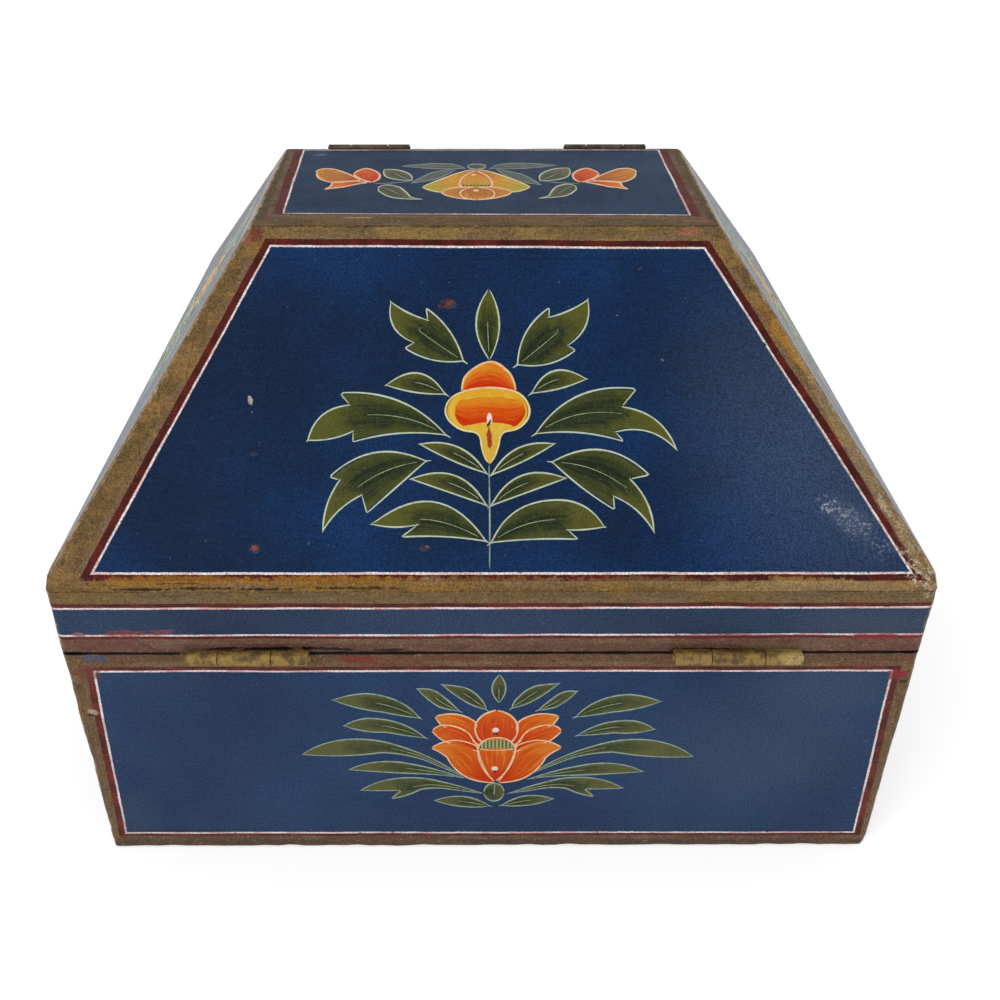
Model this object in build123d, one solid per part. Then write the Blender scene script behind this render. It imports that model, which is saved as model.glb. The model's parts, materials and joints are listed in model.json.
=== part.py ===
from build123d import *
import math
import os

# A painted box with a hipped lid, in millimetres.
# Frame: the origin is the middle of the underside, +X is to the right of someone who
# stands at the front, the front faces -Y, the lid hinges at the back (+Y), +Z is up.

# Overall form
box_width = 340.0
box_depth = 344.0
base_height = 115.0
rim_height = 30.5
slope_rise = 101.5
side_foot = 4.0
top_width = 195.5
top_depth = 112.5
top_shift = 2.0

# Boards
wall_thick = 13.0
bottom_thick = 10.0
lid_thick = 10.0
floor_thick = 7.0
corner_round = 3.0
hip_round = 1.6
crown_round = 1.2
foot_round = 1.0

# Running gaps
seam_gap = 0.3
flap_gap = 0.5
bore_gap = 0.05
knuckle_gap = 0.4

# Hinges of the lid, let into the meeting edges at the back
lid_hinge_length = 49.6
lid_hinge_reach = 14.6
lid_hinge_thick = 1.5
lid_hinge_barrel = 3.0
lid_hinge_pin = 1.5
lid_hinge_place = 96.5
lid_hinge_stand = 0.2
lid_hinge_middle = 0.42

# Hinges of the front flap, let into the meeting edges at the top
flap_hinge_length = 40.0
flap_hinge_reach = 9.8
flap_hinge_thick = 1.2
flap_hinge_barrel = 1.6
flap_hinge_pin = 0.75
flap_hinge_place = 58.5
flap_hinge_stand = 0.15
flap_hinge_middle = 0.46

# Hasp and staple
hasp_width = 34.0
hasp_plate_length = 27.0
hasp_plate_thick = 1.6
hasp_barrel = 2.6
hasp_pin_radius = 1.2
hasp_drop = 1.0
hasp_lift = 3.8
strap_width = 16.0
strap_thick = 1.8
strap_margin = 7.0
slot_width = 5.6
slot_length = 22.0
staple_below_seam = 13.0
staple_eye = 3.6
staple_wire = 3.0
staple_thick = 4.0
staple_reach = 9.0
staple_shank = 3.6

# Forged nails: shank, head and how far the head is punched below the face
nail_shank = 2.2
nail_head = 4.4
nail_head_depth = 1.2
nail_sunk = 0.3
nail_edge = 32.0
tack_shank = 1.6
tack_head = 3.0
tack_head_depth = 0.9
rose_height = 0.8

# Heights and half sizes that follow from them
half_width = box_width / 2
half_depth = box_depth / 2
lid_low = base_height + seam_gap
eave = base_height + rim_height
crown = eave + slope_rise
top_under = crown - lid_thick
floor_top = lid_low + floor_thick
inner_half_width = half_width - wall_thick
inner_half_depth = half_depth - wall_thick
long_run = half_depth - top_depth / 2
long_slope = math.atan2(slope_rise, long_run)
flap_top_y = -top_depth / 2


def block(xs, ys, zs):
    size = (xs[1] - xs[0], ys[1] - ys[0], zs[1] - zs[0])
    middle = Pos((xs[0] + xs[1]) / 2, (ys[0] + ys[1]) / 2, (zs[0] + zs[1]) / 2)
    return middle * Box(*size)


# A polygon of (y, z) points, drawn out along X.
def prism_along_x(points, x_low, x_high):
    face = make_face(Polyline(*points, close=True))
    return extrude(Plane.YZ.offset(x_low) * face, amount=x_high - x_low)


# A polygon of (x, z) points, drawn out along Y.
def prism_along_y(points, y_low, y_high):
    face = make_face(Polyline(*points, close=True))
    return extrude(Plane.XZ.offset(-y_high) * face, amount=y_high - y_low)


# A round bar along X.
def bar(radius, x_low, x_high):
    return Pos((x_low + x_high) / 2, 0, 0) * Rot(0, 90, 0) * Cylinder(radius, x_high - x_low)


# A square that narrows to a smaller one further along the plane's normal.
def taper(plane, size, far_size, distance):
    lean = math.degrees(math.atan2((size - far_size) / 2, distance))
    return plane.location * extrude(Rectangle(size, size), amount=distance, taper=lean)


# A forged nail with a square shank that tapers to its point. Its head is sunk into the
# face. outward is the face's normal, into the way that the shank runs.
def nail(spot, outward, length, into=None, shank=nail_shank, head=nail_head,
         head_depth=nail_head_depth, sunk=0.0):
    outward = Vector(*outward).normalized()
    into = Vector(*into).normalized() if into else outward * -1
    middle = Vector(*spot) - outward * sunk
    side = (1, 0, 0) if abs(outward.X) < 0.9 else (0, 1, 0)
    head_plane = Plane(origin=middle, x_dir=side, z_dir=outward * -1)
    shank_plane = Plane(origin=middle + into * (head_depth / 2), x_dir=side, z_dir=into)
    return (taper(head_plane, head, shank, head_depth)
            + taper(shank_plane, shank, shank * 0.35, length - head_depth / 2)).solid()


# A nail whose four-sided rose head stands proud of the face.
def rose_nail(plane, x, y, length):
    seat = plane * Pos(x, y, 0)
    seat = Plane(seat)
    under = Plane(origin=seat.origin, x_dir=seat.x_dir, z_dir=seat.z_dir * -1)
    return (taper(seat, tack_head * 1.3, tack_head * 0.5, rose_height)
            + taper(under, tack_shank, tack_shank * 0.35, length)).solid()


def group(solids):
    return Compound(children=list(solids))


def upright_corners(board, y_side):
    def at_corner(edge):
        spot = edge.center()
        return (abs(abs(spot.X) - half_width) < 0.01
                and abs(spot.Y - y_side * half_depth) < 0.01)
    return [edge for edge in board.edges().filter_by(Axis.Z) if at_corner(edge)]


# The base: front and back boards run the full width, the sides stand between them, and
# the bottom board is nailed up into their lower edges.
def base_boards():
    heights = (bottom_thick, base_height)
    boards = {}
    for name, side in (("base_front_board", -1), ("base_back_board", 1)):
        ys = sorted((side * half_depth, side * inner_half_depth))
        board = block((-half_width, half_width), ys, heights)
        boards[name] = fillet(upright_corners(board, side), corner_round)
    for name, side in (("base_left_board", -1), ("base_right_board", 1)):
        xs = sorted((side * half_width, side * inner_half_width))
        boards[name] = block(xs, (-inner_half_depth, inner_half_depth), heights)
    bottom = block((-half_width, half_width), (-half_depth, half_depth), (0, bottom_thick))
    corners = upright_corners(bottom, -1) + upright_corners(bottom, 1)
    bottom = fillet(corners, corner_round)
    lowest = bottom.faces().sort_by(Axis.Z)[0]
    boards["bottom_board"] = chamfer(lowest.edges(), foot_round)
    return boards


# The rim of the lid repeats the base's corners, with a thin floor let in between.
def rim_boards():
    heights = (lid_low, eave)
    boards = {}
    for name, side in (("rim_front_board", -1), ("rim_back_board", 1)):
        ys = sorted((side * half_depth, side * inner_half_depth))
        board = block((-half_width, half_width), ys, heights)
        boards[name] = fillet(upright_corners(board, side), corner_round)
    for name, side in (("rim_left_board", -1), ("rim_right_board", 1)):
        xs = sorted((side * half_width, side * inner_half_width))
        boards[name] = block(xs, (-inner_half_depth, inner_half_depth), heights)
    boards["lid_floor_board"] = block((-inner_half_width, inner_half_width),
                                      (-inner_half_depth, inner_half_depth),
                                      (lid_low, floor_top))
    return boards


# Distance of a sloping face from the middle plane at height z, depth below the face.
# The face starts at height low.
def slope_out(half_low, half_top, low, z, depth=0.0):
    run = half_low - half_top
    rise = crown - low
    along = math.hypot(run, rise)
    return half_low - run * (z - low) / rise - depth * along / rise


def long_out(z, depth=0.0):
    return slope_out(half_depth, top_depth / 2, eave, z, depth)


# The side slopes start above the eave, on a plumb foot.
def side_out(side, z, depth=0.0):
    return slope_out(half_width, top_width / 2 + side * top_shift, eave + side_foot, z, depth)


# The whole outer form of the lid above the eaves, where two long roofs cross. Each
# board is trimmed with it.
def hipped_form():
    along = prism_along_x([(-half_depth, eave), (half_depth, eave),
                           (top_depth / 2, crown), (-top_depth / 2, crown)],
                          -half_width, half_width)
    across = prism_along_y([(-half_width, eave), (half_width, eave), (half_width, eave + side_foot),
                            (top_shift + top_width / 2, crown), (top_shift - top_width / 2, crown),
                            (-half_width, eave + side_foot)],
                           -half_depth, half_depth)
    return along & across


def rounded_hips(board, y_side):
    up = math.cos(long_slope)
    out = y_side * math.sin(long_slope)
    face = max(board.faces(), key=lambda f: f.center().Z * up + f.center().Y * out)
    hips = [edge for edge in face.edges()
            if abs(edge.tangent_at(0.5).X) < 0.99 and edge.length > side_foot * 3]
    return fillet(hips, hip_round)


# Back, left and right slopes and the flat top. The back board covers the ends of the
# side boards, and the top board lies on the upper edges of all three.
def slope_boards():
    form = hipped_form()
    back_profile = [(long_out(eave), eave), (long_out(top_under), top_under),
                    (long_out(top_under, lid_thick), top_under),
                    (long_out(eave, lid_thick), eave)]
    back = prism_along_x(back_profile, -half_width, half_width) & form
    boards = {"back_slope_board": rounded_hips(back, 1)}
    front_depth = lid_thick + flap_gap
    between = prism_along_x([(-long_out(eave, front_depth), eave),
                             (long_out(eave, lid_thick), eave),
                             (long_out(top_under, lid_thick), top_under),
                             (-long_out(top_under, front_depth), top_under)],
                            -half_width, half_width)
    for name, side in (("left_slope_board", -1), ("right_slope_board", 1)):
        profile = [(side * half_width, eave),
                   (side * half_width, eave + side_foot),
                   (side * side_out(side, top_under), top_under),
                   (side * side_out(side, top_under, lid_thick), top_under),
                   (side * side_out(side, eave, lid_thick), eave)]
        boards[name] = prism_along_y(profile, -half_depth, half_depth) & between
    top = form & block((-half_width, half_width), (flap_top_y, half_depth), (top_under, crown))
    top_face = top.faces().sort_by(Axis.Z)[-1]
    boards["top_board"] = fillet(top_face.edges(), crown_round)
    return boards


# The front slope is a flap. It covers the front ends of the side slopes, stands on the
# rim with a small gap and meets the top board at a plumb joint.
def flap_board():
    low = eave + seam_gap
    top_y = flap_top_y - flap_gap
    top_z = crown - flap_gap * math.tan(long_slope)
    top_low = top_z - lid_thick / math.cos(long_slope)
    profile = [(-long_out(low), low), (top_y, top_z), (top_y, top_low),
               (-long_out(low, lid_thick), low)]
    board = prism_along_x(profile, -half_width, half_width) & hipped_form()
    return rounded_hips(board, -1)


# One leaf of a butt hinge and its knuckles. The axis is X through the origin, the leaf
# runs towards -Y, above the axis plane for side 1 and below it for side -1. The leaf
# holds the middle knuckle or the two outer ones.
def hinge_leaf(length, reach, thick, gap, barrel, pin, middle, side, holds_middle):
    half = length / 2
    inner = length * middle / 2
    zs = sorted((side * gap / 2, side * (gap / 2 + thick)))
    leaf = block((-half, half), (-reach, 0), zs)
    outer_spans = [(-half, -inner - knuckle_gap / 2), (inner + knuckle_gap / 2, half)]
    middle_spans = [(-inner + knuckle_gap / 2, inner - knuckle_gap / 2)]
    own = middle_spans if holds_middle else outer_spans
    other = outer_spans if holds_middle else middle_spans
    for low, high in other:
        leaf -= bar(barrel + knuckle_gap, low - knuckle_gap, high + knuckle_gap)
    for low, high in own:
        leaf += bar(barrel, low, high)
    leaf -= bar(pin + bore_gap, -half - 1, half + 1)
    return leaf.solid()


# A plain pin that stands a little out of the barrel at each end.
def hinge_pin(length, pin):
    half = length / 2 + pin * 0.6
    return bar(pin, -half, half).solid()


def lid_hinge_seat(x):
    axis_y = half_depth + lid_hinge_barrel + lid_hinge_stand
    return Pos(x, axis_y, base_height + seam_gap / 2)


def flap_hinge_seat(x):
    axis_y = flap_top_y - flap_gap / 2
    return Pos(x, axis_y, crown + flap_hinge_stand) * Rot(90, 0, 0)


# Both lid hinges, with the bed of each leaf cut into its board. The middle knuckle is
# on the base, the outer ones are on the lid.
def lid_hinges(base, lid):
    parts = {}
    base_nails = []
    lid_nails = []
    nail_y = half_depth + lid_hinge_barrel + lid_hinge_stand - lid_hinge_reach * 0.66
    bed_y = half_depth + lid_hinge_barrel + lid_hinge_stand - lid_hinge_reach
    for name, x in (("left", -lid_hinge_place), ("right", lid_hinge_place)):
        seat = lid_hinge_seat(x)
        xs = (x - lid_hinge_length / 2, x + lid_hinge_length / 2)
        for leaf_name, side, board_set, board in (("base", -1, base, "base_back_board"),
                                                  ("lid", 1, lid, "rim_back_board")):
            leaf = seat * hinge_leaf(lid_hinge_length, lid_hinge_reach, lid_hinge_thick, seam_gap,
                                     lid_hinge_barrel, lid_hinge_pin, lid_hinge_middle, side,
                                     side < 0)
            meeting = base_height if side < 0 else lid_low
            zs = sorted((meeting, meeting + side * lid_hinge_thick))
            board_set[board] -= block(xs, (bed_y, half_depth + 1), zs)
            nails = [nail((x + step * lid_hinge_length * 0.36, nail_y, meeting), (0, 0, -side), 13,
                          shank=tack_shank, head=tack_head, head_depth=tack_head_depth)
                     for step in (-1, 1)]
            board_set[board] = board_set[board].cut(*nails)
            parts[f"lid_hinge_{name}_{leaf_name}_leaf"] = leaf.cut(*nails)
            (base_nails if side < 0 else lid_nails).extend(nails)
        parts[f"lid_hinge_{name}_pin"] = seat * hinge_pin(lid_hinge_length, lid_hinge_pin)
    parts["lid_hinge_base_nails"] = group(base_nails)
    parts["lid_hinge_lid_nails"] = group(lid_nails)
    return parts


# Both flap hinges, upright in the joint between the top board and the flap. The middle
# knuckle is on the top board, the outer ones are on the flap.
def flap_hinges(lid, flap):
    parts = {}
    top_tacks = []
    flap_tacks = []
    axis_z = crown + flap_hinge_stand
    tack_z = axis_z - flap_hinge_reach * 0.74
    bed_low = axis_z - flap_hinge_reach
    for name, x in (("left", -flap_hinge_place), ("right", flap_hinge_place)):
        seat = flap_hinge_seat(x)
        xs = (x - flap_hinge_length / 2, x + flap_hinge_length / 2)
        hollow = seat * bar(flap_hinge_barrel + knuckle_gap, -flap_hinge_length / 2 - 1.2,
                            flap_hinge_length / 2 + 1.2)
        for leaf_name, side, board_set, board, meeting in (
                ("top", -1, lid, "top_board", flap_top_y),
                ("flap", 1, flap, "front_flap_board", flap_top_y - flap_gap)):
            leaf = seat * hinge_leaf(flap_hinge_length, flap_hinge_reach, flap_hinge_thick, flap_gap,
                                     flap_hinge_barrel, flap_hinge_pin, flap_hinge_middle, side,
                                     side < 0)
            ys = sorted((meeting, meeting - side * flap_hinge_thick))
            bed = block(xs, ys, (bed_low, crown + 1))
            tacks = [nail((x + step * flap_hinge_length * 0.34, meeting, tack_z), (0, side, 0), 5.6,
                          shank=tack_shank, head=tack_head, head_depth=tack_head_depth)
                     for step in (-1, 1)]
            board_set[board] = board_set[board].cut(hollow, bed, *tacks)
            parts[f"flap_hinge_{name}_{leaf_name}_leaf"] = leaf.cut(*tacks)
            (top_tacks if side < 0 else flap_tacks).extend(tacks)
        parts[f"flap_hinge_{name}_pin"] = seat * hinge_pin(flap_hinge_length, flap_hinge_pin)
    parts["flap_hinge_top_nails"] = group(top_tacks)
    parts["flap_hinge_flap_nails"] = group(flap_tacks)
    return parts


# The plane of the front slope: origin on the eave line, Y up the slope, Z outward.
def slope_plane():
    outward = (0, -math.sin(long_slope), math.cos(long_slope))
    return Plane(origin=(0, -half_depth, eave), x_dir=(1, 0, 0), z_dir=outward)


# Height of the hasp's axis above the staple, which sets where the slot lies.
def hasp_to_staple():
    axis_z = eave - hasp_drop * math.sin(long_slope) + hasp_lift * math.cos(long_slope)
    return axis_z - (base_height - staple_below_seam)


# The hasp: a nailed plate at the flap's lower edge, a pin and a slotted strap. At rest
# the strap is folded up on the slope, and it swings over and down onto the staple.
def hasp(flap):
    plane = slope_plane()
    axis = plane.location * Pos(0, -hasp_drop, hasp_lift)
    half = hasp_width / 2
    knuckle = strap_width / 2
    outline = make_face(Polyline((-half, 0), (half, 0), (half, hasp_plate_length * 0.45),
                                 (0, hasp_plate_length), (-half, hasp_plate_length * 0.45),
                                 close=True))
    outline = fillet(outline.vertices().filter_by_position(Axis.Y, 1, hasp_plate_length + 1), 3.0)
    plate = extrude(outline, amount=hasp_plate_thick)
    strap_end = hasp_to_staple() + slot_length / 2 + strap_margin
    strap = (block((-knuckle, knuckle), (0, strap_end - knuckle), (-strap_thick / 2, strap_thick / 2))
             + Pos(0, strap_end - knuckle, 0) * Cylinder(knuckle, strap_thick))
    slot = Pos(0, hasp_to_staple(), 0) * extrude(SlotOverall(slot_length, slot_width, rotation=90),
                                                 amount=strap_thick, both=True)
    strap = strap - slot + bar(hasp_barrel, -knuckle, knuckle)
    strap -= bar(hasp_pin_radius + bore_gap, -half, half)
    plate_at_axis = Pos(0, hasp_drop, -hasp_lift) * plate
    for side in (-1, 1):
        span = sorted((side * (knuckle + knuckle_gap), side * half))
        web = block(span, (-hasp_barrel * 0.8, hasp_barrel), (-hasp_lift, 0))
        plate_at_axis += web + bar(hasp_barrel, *span)
    plate_at_axis -= block((-knuckle - knuckle_gap, knuckle + knuckle_gap),
                           (-hasp_barrel - knuckle_gap, hasp_barrel + knuckle_gap),
                           (-hasp_lift, hasp_barrel + knuckle_gap))
    plate_at_axis -= bar(hasp_pin_radius + bore_gap, -half - 1, half + 1)
    spots = [(-half * 0.62, hasp_plate_length * 0.42), (half * 0.62, hasp_plate_length * 0.42),
             (0, hasp_plate_length * 0.76)]
    face = plane.offset(hasp_plate_thick)
    nails = [rose_nail(face, x, y, lid_thick * 0.8) for x, y in spots]
    flap["front_flap_board"] = flap["front_flap_board"].cut(*nails)
    return {"hasp_plate": (axis * plate_at_axis).solid().cut(*nails),
            "hasp_pin": axis * hinge_pin(hasp_width, hasp_pin_radius),
            "hasp_strap": (axis * strap).solid(),
            "hasp_nails": group(nails)}


# The staple's eye stands out of the front board, in line with the strap's slot, and a
# padlock's shackle goes through it along X.
def staple(base):
    z = base_height - staple_below_seam
    outer = staple_eye + staple_wire
    ring = Pos(0, -half_depth - staple_reach, z) * Rot(0, 90, 0) * Cylinder(outer, staple_thick)
    neck = block((-staple_thick / 2, staple_thick / 2), (-half_depth - staple_reach, -half_depth),
                 (z - staple_wire * 0.8, z + staple_wire * 0.8))
    shank_plane = Plane(origin=(0, -half_depth, z), x_dir=(1, 0, 0), z_dir=(0, 1, 0))
    shank = taper(shank_plane, staple_shank, staple_shank * 0.6, wall_thick - 1)
    eye = Pos(0, -half_depth - staple_reach, z) * Rot(0, 90, 0) * Cylinder(staple_eye, staple_thick * 2)
    base["base_front_board"] = base["base_front_board"].cut(shank.solid())
    return {"hasp_staple": (ring + neck + shank - eye).solid()}


# Nails along a line between two points, at the given shares of it.
def nail_row(start, end, shares, outward, length, **more):
    start = Vector(*start)
    end = Vector(*end)
    return [nail(tuple(start + (end - start) * share), outward, length, **more) for share in shares]


def drive(nails, boards, names):
    for name in names:
        boards[name] = boards[name].cut(*nails)
    return group(nails)


def base_nails(boards):
    walls = []
    for y_side in (-1, 1):
        for x_side in (-1, 1):
            x = x_side * (half_width - wall_thick / 2)
            y = y_side * half_depth
            walls += nail_row((x, y, bottom_thick), (x, y, base_height), (0.16, 0.44, 0.69),
                              (0, y_side, 0), nail_edge)
    under = []
    for side in (-1, 1):
        y = side * (half_depth - wall_thick / 2)
        x = side * (half_width - wall_thick / 2)
        under += nail_row((-half_width, y, 0), (half_width, y, 0), (0.1, 0.3, 0.5, 0.7, 0.9),
                          (0, 0, -1), nail_edge, sunk=nail_sunk)
        under += nail_row((x, -half_depth, 0), (x, half_depth, 0), (0.2, 0.5, 0.8),
                          (0, 0, -1), nail_edge, sunk=nail_sunk)
    all_names = ("base_front_board", "base_back_board", "base_left_board", "base_right_board")
    return {"base_wall_nails": drive(walls, boards, all_names),
            "bottom_nails": drive(under, boards, all_names + ("bottom_board",))}


def rim_nails(boards):
    corners = []
    into_floor = []
    floor_z = lid_low + floor_thick / 2
    for y_side in (-1, 1):
        y = y_side * half_depth
        for x_side in (-1, 1):
            x = x_side * (half_width - wall_thick / 2)
            corners += nail_row((x, y, lid_low), (x, y, eave), (0.55,), (0, y_side, 0), nail_edge)
        into_floor += nail_row((-half_width, y, floor_z), (half_width, y, floor_z), (0.1, 0.5, 0.9),
                               (0, y_side, 0), nail_edge * 0.8)
        x = y_side * half_width
        into_floor += nail_row((x, -half_depth, floor_z), (x, half_depth, floor_z), (0.25, 0.75),
                               (y_side, 0, 0), nail_edge * 0.8)
    names = ("rim_front_board", "rim_back_board", "rim_left_board", "rim_right_board")
    return {"rim_nails": drive(corners, boards, names),
            "lid_floor_nails": drive(into_floor, boards, names + ("lid_floor_board",))}


# A nail through a slope's foot leans outward, so that its point stays in the rim board.
def foot_nails(half_low, half_top, low, along_x, side, places):
    up_slope = 17.0
    angle = math.atan2(crown - low, half_low - half_top)
    out = half_low - up_slope * math.cos(angle)
    z = low + up_slope * math.sin(angle)
    aim = half_low - wall_thick / 2 - out
    nails = []
    for place in places:
        if along_x:
            spot = (place, side * out, z)
            outward = (0, side * math.sin(angle), math.cos(angle))
            into = (0, side * aim, eave - rim_height / 2 - z)
        else:
            spot = (side * out, place, z)
            outward = (side * math.sin(angle), 0, math.cos(angle))
            into = (side * aim, 0, eave - rim_height / 2 - z)
        nails.append(nail(spot, outward, nail_edge * 0.8, into=into))
    return nails


def slope_nails(boards):
    nails = foot_nails(half_depth, top_depth / 2, eave, True, 1, (-118.0, -50.0, 24.4, 91.4))
    for side in (-1, 1):
        half_top = top_width / 2 + side * top_shift
        nails += foot_nails(half_width, half_top, eave + side_foot, False, side, (-88.0, 0.0, 88.0))
    outward = (0, math.sin(long_slope), math.cos(long_slope))
    for side in (-1, 1):
        inset = lid_thick * 0.62
        low = (side * (half_width - inset), half_depth, eave)
        high = (side * (side_out(side, crown) - inset), top_depth / 2, crown)
        nails += nail_row(low, high, (0.3, 0.55, 0.78), outward, nail_edge * 0.75)
    names = ("back_slope_board", "left_slope_board", "right_slope_board",
             "rim_back_board", "rim_left_board", "rim_right_board")
    return {"slope_nails": drive(nails, boards, names)}


# Nails down through the top board into the upper edges of the slopes. They lean with
# the slope that they enter.
def top_nails(boards):
    up = (0, 0, 1)
    length = nail_edge * 0.75
    y = long_out(crown, lid_thick / 2)
    back = nail_row((top_shift - top_width / 2, y, crown), (top_shift + top_width / 2, y, crown),
                    (0.12, 0.5, 0.88), up, length, into=(0, long_run, -slope_rise))
    sides = []
    for side in (-1, 1):
        x = side * side_out(side, crown, lid_thick / 2)
        run = side * (half_width - side_out(side, crown))
        sides += nail_row((x, flap_top_y, crown), (x, top_depth / 2, crown), (0.3, 0.75), up, length,
                          into=(run, 0, side_foot - slope_rise))
    names = ("top_board", "back_slope_board", "left_slope_board", "right_slope_board")
    return {"top_nails": drive(back + sides, boards, names)}


def build():
    base = base_boards()
    lid = {**rim_boards(), **slope_boards()}
    flap = {"front_flap_board": flap_board()}
    fittings = {**base_nails(base), **rim_nails(lid), **slope_nails(lid), **top_nails(lid),
                **lid_hinges(base, lid), **flap_hinges(lid, flap), **hasp(flap), **staple(base)}
    return {**base, **lid, **flap, **fittings}


os.makedirs("parts", exist_ok=True)
for node, shape in build().items():
    export_step(shape, f"parts/{node}.step")
print("slope of front and back, degrees:", round(math.degrees(long_slope), 2))
print("hasp axis to staple, mm:", round(hasp_to_staple(), 2))
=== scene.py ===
import json
import math
import bpy
import numpy as np
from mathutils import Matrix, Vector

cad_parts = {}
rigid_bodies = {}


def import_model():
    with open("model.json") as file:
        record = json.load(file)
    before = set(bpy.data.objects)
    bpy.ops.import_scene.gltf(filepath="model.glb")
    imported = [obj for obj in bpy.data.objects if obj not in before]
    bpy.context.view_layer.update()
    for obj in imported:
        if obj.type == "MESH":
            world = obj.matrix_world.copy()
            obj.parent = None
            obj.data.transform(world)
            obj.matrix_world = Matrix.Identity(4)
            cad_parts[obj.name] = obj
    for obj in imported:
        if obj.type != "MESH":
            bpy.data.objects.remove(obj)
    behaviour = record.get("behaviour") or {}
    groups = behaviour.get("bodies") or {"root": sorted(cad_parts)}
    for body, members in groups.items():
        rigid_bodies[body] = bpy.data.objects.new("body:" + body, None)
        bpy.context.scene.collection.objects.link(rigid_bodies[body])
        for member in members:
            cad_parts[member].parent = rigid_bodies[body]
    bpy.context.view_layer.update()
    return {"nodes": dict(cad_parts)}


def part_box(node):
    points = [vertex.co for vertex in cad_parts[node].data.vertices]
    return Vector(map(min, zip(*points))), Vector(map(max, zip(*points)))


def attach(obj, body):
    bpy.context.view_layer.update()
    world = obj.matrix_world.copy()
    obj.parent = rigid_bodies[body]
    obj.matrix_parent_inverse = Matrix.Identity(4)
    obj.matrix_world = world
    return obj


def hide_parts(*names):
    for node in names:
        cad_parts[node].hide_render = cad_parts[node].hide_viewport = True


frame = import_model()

toMetres = 0.001  # every shape below is worked out in millimetres
mapUnit = 100.0  # millimetres to one unit of the face map


def boxOf(node):  # lowest and highest corner of a CAD node, in millimetres
    low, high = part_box(node)
    return np.array(low) / toMetres, np.array(high) / toMetres


# The few sizes that all pieces share, most of them read from the frame. The full width keeps
# some room for the ornament's paint.
form = {"corner": 3.0, "crownWidth": 195.5, "crownDepth": 112.5, "crownShift": 2.0, "sideFoot": 4.0,
        "lidThick": 10.0, "paintRoom": 0.15}
form["halfWidth"], form["halfDepth"], form["baseTop"] = boxOf("base_back_board")[1]
form["halfWidth"] -= form["paintRoom"]
form["wall"] = form["halfDepth"] - boxOf("base_back_board")[0][1]
form["bottomTop"] = boxOf("bottom_board")[1][2]
form["lidLow"], form["eave"] = (corner[2] for corner in boxOf("rim_back_board"))
form["crownUnder"], form["crown"] = (corner[2] for corner in boxOf("top_board"))
form["flapLow"] = boxOf("front_flap_board")[0][2]
print("frame loaded, box", np.round(2 * form["halfWidth"], 1), "mm wide")


def sideOut(side, z, depth=0.0):  # x of the left (-1) or right (1) slope's face at height z
    foot = form["eave"] + form["sideFoot"]
    run, rise = form["halfWidth"] - form["crownWidth"] / 2 - side * form["crownShift"], form["crown"] - foot
    return side * (form["halfWidth"] - run * (z - foot) / rise - depth * math.hypot(run, rise) / rise)


def longOut(z, depth=0.0):  # y of the back slope's face at height z
    run, rise = form["halfDepth"] - form["crownDepth"] / 2, form["crown"] - form["eave"]
    return form["halfDepth"] - run * (z - form["eave"]) / rise - depth * math.hypot(run, rise) / rise


# The pale line round each panel: how far in it runs from the side, lower and upper edge (the
# rim's runs on past both ends), and on the back and the crown its own four corners, as the
# painter's hand left them.
lineInset = {"base": (8.2, 9.4, 9.4), "rim": (-900.0, 9.0, 7.8), "slope": (8.4, 7.2, 9.4),
             "crown": (9.0, 15.0, 4.0)}
lineCorners = {"base": [(-162.3, 9.8), (163.0, 9.2), (160.2, 105.4), (-158.4, 105.8)],
               "slope": [(-152.2, 7.4), (160.2, 7.0), (88.4, 143.8), (-90.4, 145.0)],
               "crown": [(-85.9, -40.4), (87.1, -43.0), (86.8, 52.9), (-88.6, 53.2)]}


# Faces of the box as the painter saw them: a plane with u to the right and v up, seen
# from outside, and its outline in millimetres (lower left, lower right, upper right, upper left).
def faceOf(origin, u, v, outline, group, ownLine=False):
    u, v = np.array(u, float), np.array(v, float)
    v = v / np.linalg.norm(v)
    return {"origin": np.array(origin, float), "u": u, "v": v, "n": np.cross(u, v),
            "outline": np.array(outline, float), "inset": np.array(lineInset[group]),
            "line": np.array(lineCorners[group], float) if ownLine else None}


def wallFaces(low, high, group):
    hw, hd = form["halfWidth"], form["halfDepth"]
    spans = {"Back": ((0, hd, 0), (-1, 0, 0), hw), "Front": ((0, -hd, 0), (1, 0, 0), hw),
             "Left": ((-hw, 0, 0), (0, -1, 0), hd), "Right": ((hw, 0, 0), (0, 1, 0), hd)}
    faces = {}
    for name, (origin, u, half) in spans.items():
        outline = [(-half, low), (half, low), (half, high), (-half, high)]
        faces[name] = faceOf(origin, u, (0, 0, 1), outline, group, name == "Back" and group == "base")
    return faces


def slopeFaces():
    hd, eave, crown = form["halfDepth"], form["eave"], form["crown"]
    left, right, back = sideOut(-1, crown), sideOut(1, crown), longOut(crown)
    lowLeft, lowRight = sideOut(-1, eave), sideOut(1, eave)
    rise = crown - eave
    long, toLeft, toRight = (math.hypot(a, rise) for a in (hd - back, left - lowLeft, lowRight - right))
    return {"Back": faceOf((0, hd, eave), (-1, 0, 0), (0, back - hd, rise),
                           [(-lowRight, 0), (-lowLeft, 0), (-left, long), (-right, long)], "slope", True),
            "Front": faceOf((0, -hd, eave), (1, 0, 0), (0, hd - back, rise),
                            [(lowLeft, 0), (lowRight, 0), (right, long), (left, long)], "slope"),
            "Left": faceOf((lowLeft, 0, eave), (0, -1, 0), (left - lowLeft, 0, rise),
                           [(-hd, 0), (hd, 0), (back, toLeft), (-back, toLeft)], "slope"),
            "Right": faceOf((lowRight, 0, eave), (0, 1, 0), (right - lowRight, 0, rise),
                            [(-hd, 0), (hd, 0), (back, toRight), (-back, toRight)], "slope")}


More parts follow.
